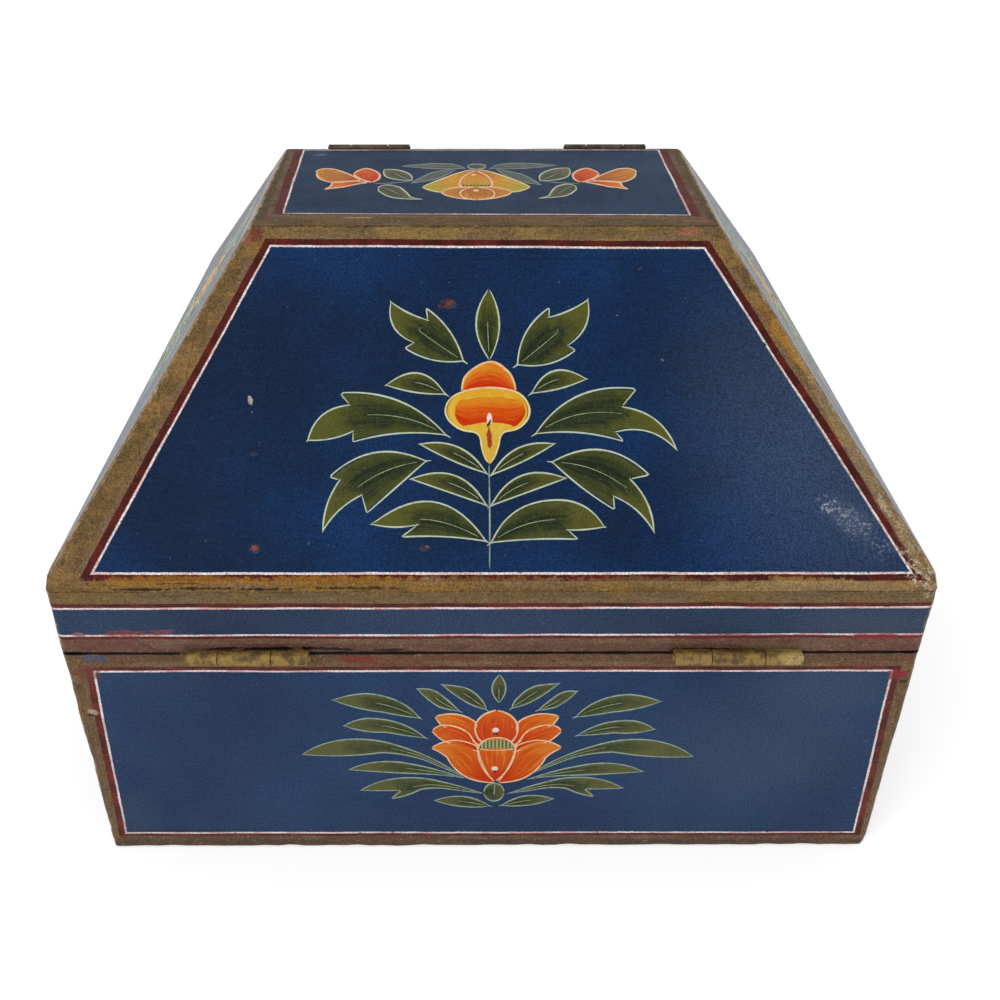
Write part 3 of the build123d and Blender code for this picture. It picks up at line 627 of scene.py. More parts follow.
# The walls of the base and of the lid's rim: their radii at the corners of the box, at their
# lower and at their upper arris, and how deep their wear goes.
wallLook = {"base": {"body": "base", "corner": 3.0, "edges": (0.3, 0.5)},
            "rim": {"body": "lid", "corner": 3.0, "edges": (0.5, 0.25)}, "wear": 0.5}
bottomLook = {"corner": 3.0, "foot": 1.6, "wear": 0.6}


def addWalls(group, faces, low, high):
    hw, hd, wall, look = form["halfWidth"], form["halfDepth"], form["wall"], wallLook[group]
    plain = paint[group]

    def addWall(name, xs, ys, rounds, painted, seed):
        corners = upright(xs, ys, (low, high))
        mesh = boardMesh(f"{group}{name}", corners, rounds, painted, wallLook["wear"], seed)
        addPiece(mesh, look["body"], "painted_pine", f"{group}_{name.lower()}_board")

    for seed, (name, side) in enumerate((("Front", -1), ("Back", 1))):
        outer = int(side > 0)
        rounds = [arris("xy", (e, outer), look["corner"]) for e in range(2)]
        rounds += [arris("yz", (outer, e), look["edges"][e]) for e in range(2)]
        own = paint[group + "Back"] if name == "Back" else plain
        painted = {2 + outer: (faces[name], own), 0: (faces["Left"], plain), 1: (faces["Right"], plain)}
        addWall(name, (-hw, hw), sorted((side * hd, side * (hd - wall))), rounds, painted, 11 + seed)
    for seed, (name, side) in enumerate((("Left", -1), ("Right", 1))):
        outer = int(side > 0)
        rounds = [arris("xz", (outer, e), look["edges"][e]) for e in range(2)]
        addWall(name, sorted((side * hw, side * (hw - wall))), (wall - hd, hd - wall), rounds,
                {outer: (faces[name], plain)}, 21 + seed)


def addBottom():
    hw, hd = form["halfWidth"], form["halfDepth"]
    rounds = [arris("xy", (i, j), bottomLook["corner"]) for i in range(2) for j in range(2)]
    rounds += [arris(axis + "z", (e, 0), bottomLook["foot"]) for axis in "xy" for e in range(2)]
    painted = {side: (baseFace[name], paint["base"]) for side, name in enumerate(("Left", "Right", "Front"))}
    painted[3] = baseFace["Back"], paint["baseBack"]
    corners = upright((-hw, hw), (-hd, hd), (0, form["bottomTop"]))
    addPiece(boardMesh("bottom", corners, rounds, painted, bottomLook["wear"], 31), "base", "painted_pine",
             "bottom_board")


# The lid's slopes and its flat top: radii along the hips, at the eave, round the flap and round
# the top, and how deep their wear goes.
lidLook = {"hip": 2.6, "eave": 0.25, "flapSide": 1.8, "flapFoot": 0.8, "topSide": 1.4, "topEnd": 1.2,
           "wear": 0.7}


def addSlopes():
    eave, under, crown, thick = form["eave"], form["crownUnder"], form["crown"], form["lidThick"]

    def addBoard(name, corners, rounds, painted, seed, body, node):
        mesh = boardMesh(name, corners, rounds, painted, lidLook["wear"], seed)
        addPiece(mesh, body, "painted_pine", node)

    def roofCorners(ys, zs):  # corners of a long slope board, by depth and height
        return [[[(sideOut(side, zs[j][k]), ys[j][k], zs[j][k]) for k in range(2)] for j in range(2)]
                for side in (-1, 1)]

    back = roofCorners([(longOut(eave, thick), longOut(under, thick)), (longOut(eave), longOut(under))],
                       [(eave, under), (eave, under)])
    rounds = [arris("xy", (e, 1), lidLook["hip"]) for e in range(2)] + [arris("yz", (1, 0), lidLook["eave"])]
    ends = {0: (slopeFace["Left"], paint["slopeSide"]), 1: (slopeFace["Right"], paint["slopeSide"])}
    backFace = {3: (slopeFace["Back"], paint["slopeBack"])}
    addBoard("backSlope", back, rounds, {**backFace, **ends}, 41, "lid", "back_slope_board")

    low, (topY, topZ) = form["flapLow"], boxOf("front_flap_board")[1][1:]
    run = form["halfDepth"] - form["crownDepth"] / 2
    topLow = topZ - thick * math.hypot(run, crown - eave) / run
    flap = roofCorners([(-longOut(low), topY), (-longOut(low, thick), topY)], [(low, topZ), (low, topLow)])
    rounds = [arris("xy", (e, 0), lidLook["flapSide"]) for e in range(2)]
    rounds += [arris("yz", (0, e), lidLook["flapFoot"]) for e in range(2)]
    addBoard("frontFlap", flap, rounds, {2: (slopeFace["Front"], paint["slope"]), **ends}, 42,
             "front_flap", "front_flap_board")

    for seed, (name, side) in enumerate((("Left", -1), ("Right", 1))):
        node = f"{name.lower()}_slope_board"
        frontGap = boxOf(node)[0][1] + longOut(eave, thick)
        corners = [[[(sideOut(side, z, depth), end * longOut(z, thick) + (frontGap if end < 0 else 0), z)
                     for z in (eave, under)] for end in (-1, 1)]
                   for depth in ((thick, 0) if side > 0 else (0, thick))]
        outer = int(side > 0)
        addBoard(f"slope{name}", corners, [arris("xz", (outer, 0), lidLook["eave"])],
                 {outer: (slopeFace[name], paint["slopeSide"])}, 43 + seed, "lid", node)

    front = boxOf("top_board")[0][1]
    corners = [[[(sideOut(side, z), y if y < 0 else longOut(z), z) for z in (under, crown)]
                for y in (front, 1)] for side in (-1, 1)]
    rounds = [arris("xz", (e, 1), lidLook["topSide"]) for e in range(2)]
    rounds += [arris("yz", (e, 1), lidLook["topEnd"]) for e in range(2)]
    painted = {**ends, **backFace, 5: (crownFace, paint["crownBack"])}
    addBoard("crownBoard", corners, rounds, painted, 45, "lid", "top_board")


addWalls("base", baseFace, form["bottomTop"], form["baseTop"])
addWalls("rim", rimFace, form["lidLow"], form["eave"])
addBottom()
addSlopes()
print("boards made")


# Ornament. Every painted shape lies between two edges that run from its foot to its tip.
# An edge is a chain of shallow curves, each given by its end (x, y) and how far it swells,
# as a share of its chord, to the left of the way it runs.
def edgeCurve(foot, stretches, samples=16):
    last = np.array(foot, float)
    run, t = [last[None]], np.linspace(0, 1, samples)[1:, None]
    for x, y, swell in stretches:
        end = np.array((x, y), float)
        chord = end - last
        bend = (last + end) / 2 + 2 * swell * np.array([-chord[1], chord[0]])
        run.append((1 - t) ** 2 * last + 2 * t * (1 - t) * bend + t * t * end)
        last = end
    return np.concatenate(run)


def evenly(curve, count):  # the same curve with count points at even steps
    length = np.concatenate([[0], np.cumsum(np.linalg.norm(np.diff(curve, axis=0), axis=1))])
    steps = np.linspace(0, length[-1], count)
    return np.stack([np.interp(steps, length, curve[:, k]) for k in range(2)], -1)


# One layer of paint as a closed lens: across it, at share w from edge to edge, it stands
# lift * (1 - |2w - 1|^6) above its own edges, which lie just inside the board, and its flat
# back lies deeper in.
layerLook = {"edgeDepth": 0.04, "backDepth": 0.3, "columns": (0, 0.05, 0.2, 0.5, 0.8, 0.95, 1),
             "lineColumns": (0, 0.2, 0.5, 0.8, 1), "halfColumns": (0, 0.1, 0.4, 1)}


def sheet(a, b, lift, material, seed, share, columns, whole=(0, 1), smooth=True):
    w = np.array(columns)
    uv = a[:, None] * (1 - w)[None, :, None] + b[:, None] * w[None, :, None]
    w = whole[0] + (whole[1] - whole[0]) * w
    height = np.broadcast_to(lift * (1 - np.abs(2 * w - 1) ** 6) - layerLook["edgeDepth"], uv.shape[:2])
    along = np.broadcast_to(share[:, None], uv.shape[:2])
    stroke = np.stack([along, np.broadcast_to(w, uv.shape[:2]), np.full(uv.shape[:2], seed)], -1)
    return {"uv": uv, "height": height, "stroke": stroke, "material": material, "smooth": smooth}


def layer(edgeA, edgeB, lift, material, seed=0.0, count=None, columns=layerLook["columns"]):
    count = count or max(len(edgeA), len(edgeB))
    share = np.linspace(0, 1, count)
    return sheet(evenly(edgeA, count), evenly(edgeB, count), lift, material, seed, share, columns)


# A brush line along a curve: its half width swells with the sine of the way along and wavers a little.
def inkLine(curve, width, lift, material, seed=0.0, thin=0.3, count=None):
    count = count or min(40, max(10, len(curve)))
    curve = evenly(curve, count)
    heading = np.gradient(curve, axis=0)
    heading /= np.maximum(np.linalg.norm(heading, axis=1), 1e-9)[:, None]
    t = np.linspace(0, 1, count)
    swell = thin + (1 - thin) * np.sin(math.pi * t) ** 0.45
    half = width / 2 * swell * (1 + 0.12 * np.sin(9 * t + 7 * seed))
    offset = np.stack([-heading[:, 1], heading[:, 0]], -1) * half[:, None]
    return layer(curve + offset, curve - offset, lift, material, seed, count, layerLook["lineColumns"])


# The quads and end triangles of one lens whose front is n rows of m points. Both ends are single
# points, and front and back share the rim.
def lensFaces(n, m, mirrored):
    front = np.zeros((n, m), int)
    front[1:-1] = 1 + np.arange((n - 2) * m).reshape(n - 2, m)
    front[-1] = 1 + (n - 2) * m
    back = front.copy()
    back[1:-1, 1:-1] = 2 + (n - 2) * m + np.arange((n - 2) * (m - 2)).reshape(n - 2, m - 2)
    faces = []
    for index, flip in ((front, mirrored), (back, not mirrored)):
        quads = np.stack([index[1:-2, :-1], index[1:-2, 1:], index[2:-1, 1:], index[2:-1, :-1]], -1)
        start = np.stack([np.zeros(m - 1, int), index[1, 1:], index[1, :-1]], -1)
        finish = np.stack([index[-2, :-1], index[-2, 1:], np.full(m - 1, index[-1, 0])], -1)
        for part in (quads.reshape(-1, 4), start, finish):
            faces.append(part[:, ::-1] if flip else part)
    return faces


def lensPoints(grid, column):  # a grid's values in that order: an end, the front, an end, the back
    values = grid.shape[2]
    return np.concatenate([grid[:1, column], grid[1:-1].reshape(-1, values), grid[-1:, column],
                           grid[1:-1, 1:-1].reshape(-1, values)])


def layMesh(name, face, layers):  # all the layers of one face as one mesh
    points, faces, slots, smooth, uvs, strokes, materials = [], [], [], [], [], [], []
    base = 0
    for one in layers:
        uv, height = one["uv"], one["height"]
        allUv = lensPoints(uv, 0)
        allHeight = np.full(len(allUv), -layerLook["edgeDepth"])
        front = height[1:-1].size
        allHeight[1:front + 1] = height[1:-1].ravel()
        allHeight[front + 2:] = -layerLook["backDepth"]
        points.append(fromFace(face, allUv, allHeight))
        uvs.append(allUv)
        strokes.append(lensPoints(one["stroke"], 3 if uv.shape[1] > 3 else 1))
        across, along = uv[len(uv) // 2, -1] - uv[len(uv) // 2, 0], uv[-1, 0] - uv[0, 0]
        for part in lensFaces(*uv.shape[:2], across[0] * along[1] - across[1] * along[0] < 0):
            faces += (part + base).tolist()
        if one["material"] not in materials:
            materials.append(one["material"])
        slots += [materials.index(one["material"])] * (len(faces) - len(slots))
        smooth += [one["smooth"]] * (len(faces) - len(smooth))
        base += len(allUv)
    mesh = bpy.data.meshes.new(name)
    mesh.from_pydata((np.concatenate(points) * toMetres).tolist(), [], faces)
    uv = np.concatenate(uvs)[cornerPoints(mesh)]
    return dress(mesh, [pigment[material] for material in materials], slots, smooth, uv,
                 {"stroke": np.concatenate(strokes)}, "POINT")


# Pigments of the ornament. The stroke attribute holds how far along and how far across its
# shape a point is, and a number that sets its own pattern.
def strokeComb(kit, alongScale, acrossScale):  # fine lines that run along a stroke
    along, across, seed = kit["parts"]("stroke")
    scaled = {0: kit["times"](along, alongScale), 1: kit["times"](across, acrossScale), 2: seed}
    return along, across, kit["noise"](kit["make"]("CombineXYZ", scaled), 1.0, 4, 0.65)


def leafPigment(name, light, tip, deep, hatch):
    kit = nodeBench(name)
    calc, times, mix, tint, noise, step = (kit[k] for k in ("calc", "times", "mix", "tint", "noise", "step"))
    along, across, comb = strokeComb(kit, 2.2, 13)
    middle = calc("ABSOLUTE", calc("MULTIPLY_ADD", across, 2.0, -1.0))
    cloud, speck = noise(kit["place"], 130, 3), noise(kit["place"], 1100, 3, 0.7)
    reach = calc("MULTIPLY_ADD", cloud, 0.5, along)
    heart = times(step(calc("MULTIPLY_ADD", cloud, 0.8, middle), 1.35, 0.60),
                  times(step(along, -0.1, 0.08), step(reach, 1.15, 0.60)))
    color = mix(step(reach, 0.4, 1.1), light, tip)
    color = tint(color, heart, 0.85, deep)
    color = tint(color, times(heart, step(comb, 0.46, 0.54)), hatch, "0f170a")
    color = tint(color, step(speck, 0.52, 0.75), 0.4, "7c7a38")
    color = tint(color, step(speck, 0.48, 0.30), 0.4, "23290f")
    height = calc("ADD", comb, times(cloud, 0.4))
    return kit["finish"](color, 0.45, height, bump=0.3, depth=0.0001, specular=0.15)


# A petal is shaded from foot to tip, or from its lower edge to its upper one.
def petalPigment(name, low, middle, high, streak, amount, crosswise=False):
    kit = nodeBench(name)
    calc, times, mix, tint, noise, step = (kit[k] for k in ("calc", "times", "mix", "tint", "noise", "step"))
    along, across, comb = strokeComb(kit, 2.4, 10)
    cloud = noise(kit["place"], 300, 4, 0.7)
    way = calc("SUBTRACT", 1.0, across) if crosswise else along
    reach = calc("MULTIPLY_ADD", calc("SUBTRACT", comb, 0.5), 0.8, way)
    color = mix(step(reach, 0.08, 0.5), low, middle)
    color = mix(step(reach, 0.45, 0.95), color, high)
    color = tint(color, times(step(comb, 0.50, 0.64), step(reach, 0.25, 0.6)), amount, streak)
    color = tint(color, step(comb, 0.47, 0.36), 0.35, low)
    color = tint(color, step(cloud, 0.50, 0.72), 0.35, low)
    return kit["finish"](color, 0.42, calc("ADD", comb, cloud), bump=0.3, depth=0.0001, specular=0.05)


def plainPigment(name, color, worn):
    kit = nodeBench(name)
    spots = kit["noise"](kit["place"], 420, 3, 0.7)
    mixed = kit["mix"](kit["step"](spots, 0.42, 0.70), color, worn)
    return kit["finish"](mixed, 0.45, spots, bump=0.3, depth=0.0001, specular=0.2)


def stripedPigment(name, light, dark, pitch):  # upright stripes, a sine of the place across the face
    kit = nodeBench(name)
    calc, times = kit["calc"], kit["times"]
    across = kit["make"]("SeparateXYZ", {0: kit["make"]("UVMap", {}, uv_map="face")})
    wave = calc("SINE", times(across, 2 * math.pi * mapUnit / pitch))
    cloud = kit["noise"](kit["place"], 300, 2)
    color = kit["mix"](kit["step"](calc("ADD", wave, times(cloud, 0.6)), 0.1, 0.6), light, dark)
    return kit["finish"](color, 0.45, cloud, bump=0.2, depth=0.0001)


pigment = {
    "leaf": leafPigment("olive leaf", "42481a", "56561e", "1c2a16", 0.95),
    "leafPale": leafPigment("dusty leaf", "48502a", "5a5c32", "2c3a22", 0.7),
    "leafFaded": leafPigment("faded leaf", "4a5750", "56625a", "38463f", 0.5),
    "rim": plainPigment("cream outline", "ccd6b8", "aebba6"),
    "rimPale": plainPigment("pale green outline", "9cae9e", "778a84"),
    "rimFaded": plainPigment("faded outline", "8d9c94", "6a7a78"),
    "vein": plainPigment("vein", "a9b88a", "76855c"),
    "blush": plainPigment("pink outline", "f3cfa6", "e8b184"),
    "cream": plainPigment("cream edge", "efe0a6", "ddc788"),
    "yolk": petalPigment("yellow ground", "e2a82c", "e6b838", "d9b243", "f0d468", 0.4),
    "flame": petalPigment("orange ground", "cc300a", "dc5a14", "e89a26", "cc7c1c", 0.8, True),
    "petal": petalPigment("orange petal", "c4360e", "d65a16", "dc7e28", "ea9c48", 0.5),
    "petalRed": petalPigment("red petal", "bc2c0c", "d04616", "d86420", "e0803a", 0.45),
    "petalGold": petalPigment("golden petal", "c26a1c", "d49222", "a2a434", "e8c04a", 0.55),
    "petalBrown": petalPigment("brown petal", "a8541a", "bc6c20", "c8872c", "e0a446", 0.5),
    "throat": plainPigment("brown stroke", "a83c12", "7e2409"),
    "dot": plainPigment("white dot", "f8e2d4", "eac2b0"),
    "ink": plainPigment("dark dot", "3a1710", "4c2018"),
    "stripe": stripedPigment("striped eye", "a9a560", "35502a", 1.55)}


# A leaf: its body, an outline on both edges that runs out into a thin tail, and a vein. A
# notched edge runs to a tooth, straight back to its notch, and on to the tip.
leafLook = {"body": 0.10, "vein": 0.15, "upper": 0.20, "lower": 0.18, "overlap": 1.2, "halfRows": 24}


def notched(edge):
    return len(edge) == 3 and edge[1][2] == 0


# Half of a notched leaf, from one edge to the spine. Beyond a tooth it starts again on the
# line from the tooth through its notch, so that nothing is filled in between them.
def halfLeaf(foot, edge, spine, whole, body, seed):
    steps, parts = np.linspace(0, 1, len(spine)), [(edgeCurve(foot, edge), 0, 1)]
    if notched(edge):
        tooth, notch = np.array(edge[0][:2]), np.array(edge[1][:2])
        back = notch - tooth
        side = back[0] * (spine - tooth)[:, 1] - back[1] * (spine - tooth)[:, 0]
        nearest = np.argmin(np.linalg.norm(spine - notch, axis=1))
        turn = steps[np.argmax(side * side[0] < 0) or nearest]
        parts = [(edgeCurve(foot, edge[:1]), 0, turn), (edgeCurve(notch, edge[2:]), turn, 1)]
    rows = leafLook["halfRows"]
    outer = np.concatenate([evenly(curve, rows) for curve, start, end in parts])
    share = np.concatenate([np.linspace(start, end, rows) for curve, start, end in parts])
    inner = np.stack([np.interp(share, steps, spine[:, k]) for k in range(2)], -1)
    return sheet(outer, inner, leafLook["body"], body, seed, share, layerLook["halfColumns"], whole, False)


def tail(end, a, b, reach):  # a point beyond the end that both edges share, away from the leaf
    away = 2 * end - a - b
    return end + away / np.linalg.norm(away) * reach


def leafLayers(foot, upper, lower, look, seed, tailLength=2.6):
    count = 14 + 10 * max(len(upper), len(lower))
    a, b = evenly(edgeCurve(foot, upper), count), evenly(edgeCurve(foot, lower), count)
    body, outline, vein, width = look
    before, beyond = tail(a[0], a[3], b[3], tailLength), tail(a[-1], a[-3], b[-3], tailLength * 0.5)
    spine = (a + b) / 2
    veinShare = min(0.62, 0.42 + 6 / np.linalg.norm(a[-1] - a[0]))
    strokes = [layer(a, b, leafLook["body"], body, seed)]
    if notched(upper) or notched(lower):
        strokes = [halfLeaf(foot, edge, spine, whole, body, seed)
                   for edge, whole in ((upper, (0, 0.5)), (lower, (1, 0.5)))]
    strokes.append(inkLine(spine[2:int(count * veinShare)], width * 0.5, leafLook["vein"], vein, seed, 0.25))
    for edge, thick, lift in ((upper, width, leafLook["upper"]), (lower, width * 0.9, leafLook["lower"])):
        if notched(edge):  # two strokes of the brush, the second over the end of the first
            first = np.concatenate([before[None], edgeCurve(foot, edge[:2])])
            second = edgeCurve(edge[1][:2], edge[2:])
            heading = second[1] - second[0]
            start = second[0] - heading / np.linalg.norm(heading) * leafLook["overlap"]
            second = np.concatenate([start[None], second, beyond[None]])
            strokes += [inkLine(first, thick, lift, outline, seed, 0.45, 40),
                        inkLine(second, thick, lift - 0.015, outline, seed + 0.4, 0.35)]
        else:
            whole = np.concatenate([before[None], edgeCurve(foot, edge), beyond[None]])
            strokes.append(inkLine(whole, thick, lift, outline, seed, 0.3))
    return strokes


# Petals lie in steps, each over the outline of the one before.
petalLook = {"lowest": 0.12, "step": 0.09, "outline": 0.05}


def petalLayers(foot, upper, lower, look, seed):
    count = 14 + 8 * max(len(upper), len(lower))
    a, b = evenly(edgeCurve(foot, upper), count), evenly(edgeCurve(foot, lower), count)
    body, outline, width, lift = look
    over = lift + petalLook["outline"]
    return [layer(a, b, lift, body, seed), inkLine(a, width, over, outline, seed, 0.7),
            inkLine(b, width, over, outline, seed + 0.3, 0.7)]


def discLayers(centre, radiusX, radiusY, material, lift):  # an ellipse from its left end to its right end
    angle = np.linspace(0, math.pi, 15)
    arc = np.stack([-np.cos(angle) * radiusX, np.sin(angle) * radiusY], -1)
    return [layer(arc + centre, arc * (1, -1) + centre, lift, material)]


def knobLayers(x, y, radiusX, radiusY, material, lift, width):  # a disc with its outline, in two strokes
    layers = discLayers((x, y), radiusX, radiusY, material, lift)
    ring = np.linspace(0, 2 * math.pi, 40)
    for part in (ring[:21], ring[20:]):
        arc = np.stack([x + radiusX * np.cos(part), y + radiusY * np.sin(part)], -1)
        layers.append(inkLine(arc, width, lift + 0.06, "rimPale", 0.3, 0.9))
    return layers


def spotLayer(foot, upper, lower, material, lift, seed):  # a shape without an outline
    return layer(edgeCurve(foot, upper), edgeCurve(foot, lower), lift, material, seed, 24)


def flipped(axis, foot, *edges):  # a foot and its edges on the other side of an upright axis
    return ((2 * axis - foot[0], foot[1]),
            *([(2 * axis - x, y, -swell) for x, y, swell in edge] for edge in edges))


def opposite(axis, foot, upper, lower, newFoot, newTip):  # flipped, then turned to its own foot and tip
    start, *edges = flipped(axis, foot, upper, lower)
    start, newStart, tip = complex(*start), complex(*newFoot), complex(*edges[0][-1][:2])
    spin = (complex(*newTip) - newStart) / (tip - start)
    turned = [newFoot]
    for edge in edges:
        places = [newStart + (complex(x, y) - start) * spin for x, y, _ in edge]
        turned.append([(p.real, p.imag, stretch[2]) for p, stretch in zip(places, edge)])
    return turned


leafLooks = {"slope": ("leaf", "rim", "vein", 0.82), "wall": ("leafPale", "rimPale", "vein", 0.8),
             "crown": ("leaf", "rim", "vein", 0.9), "faded": ("leafFaded", "rimFaded", "rimFaded", 0.8)}

# The slope's posy, in millimetres from the middle of the eave: leaves as foot, upper edge,
# lower edge and, for the leaf opposite, its own foot and tip.
slopePosy = {
    "axis": -0.9,
    "crest": ((-0.4, 94.4), [(-0.5, 125.6, 0.17)], [(-0.5, 125.6, -0.13)]),
    "leaves": [
        ((-11, 94), [(-26, 117, -0.09), (-25.3, 111.7, 0), (-40.3, 119.7, 0.05)],
         [(-34.4, 99.6, 0.10), (-30.7, 101.9, 0), (-40.3, 119.7, 0.2)]),
        ((10.8, 92.4), [(23.9, 117.1, 0.12), (23.8, 112.9, 0), (39.6, 120.5, -0.05)],
         [(34.1, 98.6, -0.12), (31, 100.6, 0), (39.6, 120.5, -0.16)]),
        ((-18.2, 79.9), [(-41.5, 83.7, -0.30)], [(-41.5, 83.7, 0.05)], (16.4, 80.3), (38, 86.2)),
        ((-17.7, 62.7), [(-59.9, 80.4, -0.13), (-55.8, 75.3, 0), (-71.9, 60.7, -0.19)],
         [(-54.2, 59.9, -0.06), (-54.3, 64.4, 0), (-71.9, 60.7, 0.07)]),
        ((17.6, 63.2), [(58, 82, 0.16), (51.8, 74.4, 0), (72.6, 56.7, 0.16)],
         [(52.2, 59.9, 0.06), (49, 63.9, 0), (72.6, 56.7, 0.16)]),
        ((-25.5, 52), [(-63, 45.6, -0.18), (-58.9, 44.3, 0), (-64.8, 24.1, -0.08)],
         [(-48.1, 31, 0), (-50.2, 38.3, 0), (-64.8, 24.1, -0.08)]),
        ((23.9, 51.6), [(61.6, 46.2, 0.20), (54, 44.6, 0), (62.4, 23.5, 0.10)],
         [(47.6, 32.2, -0.03), (47.3, 37.7, 0), (62.4, 23.5, 0.09)]),
        ((-2, 47.1), [(-27.9, 59, -0.18)], [(-27.9, 59, 0.03)], (0.4, 46.6), (24.8, 59)),
        ((-2.1, 34.2), [(-31.2, 44.7, -0.23)], [(-31.2, 44.7, 0)], (0, 34), (29, 44.9)),
        ((-2.2, 19.8), [(-46, 26.6, -0.28)], [(-34.6, 21.5, -0.03), (-28.3, 26.4, 0), (-46, 26.6, 0.06)]),
        ((0, 19.3), [(23.9, 36.1, 0.16), (43.4, 25.4, 0.16)],
         [(33.2, 20.5, 0.02), (29.3, 24.2, 0), (43.4, 25.4, -0.03)])],
    "stem": ((-0.9, 52), [(-0.9, 7.8, 0.005)]),
    "dome": ((-11.4, 81), [(-10.7, 86.3, 0.04), (-6.6, 90.8, 0.07), (0.4, 93.7, 0.08), (5.7, 90.6, 0.09),
                           (8.8, 86.3, 0.07), (9.9, 81, 0.04)], [(9.9, 81, 0.07)]),
    "body": ((-0.9, 82.6), [(-11.6, 80.6, -0.03), (-16.5, 77.3, -0.08), (-18, 72.5, -0.08),
                            (-14.9, 67.2, -0.11), (-9.6, 64.4, -0.08), (-5.8, 63.8, 0.04),
                            (-4, 61, 0.10), (-3.2, 55.7, -0.03), (-0.8, 50.8, -0.06)],
             [(10.2, 80.7, 0.03), (13.9, 77.2, 0.08), (15.3, 72.5, 0.08), (13.2, 67.6, 0.10),
              (8.6, 64.6, 0.08), (5.1, 64, -0.04), (3.4, 61, -0.10), (2.1, 55.7, 0.03), (-0.8, 50.8, 0.06)]),
    "glow": ((-13.9, 73.6), [(-11.2, 78.7, 0.14), (-0.5, 80.3, 0.04), (9.9, 78.8, 0.04), (13.4, 74, 0.16)],
             [(-12.8, 67.4, -0.12), (-8.4, 65.0, -0.12), (-0.5, 66.1, 0.05), (8.2, 65.2, 0.03),
              (11.8, 67.8, -0.12), (13.4, 74, -0.12)]),
    "arch": ((-11.6, 80.8), [(10.1, 80.8, 0.08)]),
    "throat": ((-0.8, 67.2), [(-2.1, 63, 0.06), (-1.6, 58, 0.04), (-0.4, 56.6, 0.1)],
               [(0.5, 63, -0.06), (0.6, 58.4, -0.02), (-0.4, 56.6, -0.1)]),
    "drop": ((-0.6, 72.2), [(-1.9, 69.2, -0.14), (-0.6, 67.0, -0.2)], [(0.8, 69.4, 0.14), (-0.6, 67.0, 0.2)]),
    "pip": ((0.1, 69.2), [(-1.6, 66.0, -0.16)], [(-1.6, 66.0, 0.2)])}


def slopePosyLayers():
    posy, look = slopePosy, leafLooks["slope"]
    layers = leafLayers(*posy["crest"], look, 0.3, tailLength=0.5)
    for k, (foot, upper, lower, *other) in enumerate(posy["leaves"]):
        layers += leafLayers(foot, upper, lower, look, k + 1.0)
        if other:
            layers += leafLayers(*opposite(posy["axis"], foot, upper, lower, *other), look, k + 11.0)
    layers.append(inkLine(edgeCurve(*posy["stem"]), 0.7, 0.16, "rimPale", 0.5, 0.5))
    layers += petalLayers(*posy["dome"], ("flame", "blush", 1.0, 0.14), 2.0)
    layers += petalLayers(*posy["body"], ("yolk", "cream", 0.9, 0.2), 3.0)
    for key, material, lift in (("glow", "flame", 0.28), ("throat", "throat", 0.34), ("drop", "dot", 0.4),
                                ("pip", "ink", 0.46)):
        layers.append(spotLayer(*posy[key], material, lift, 4.0))
    layers.append(inkLine(edgeCurve(*posy["arch"]), 1.0, 0.42, "blush", 0.2, 0.8))
    return layers


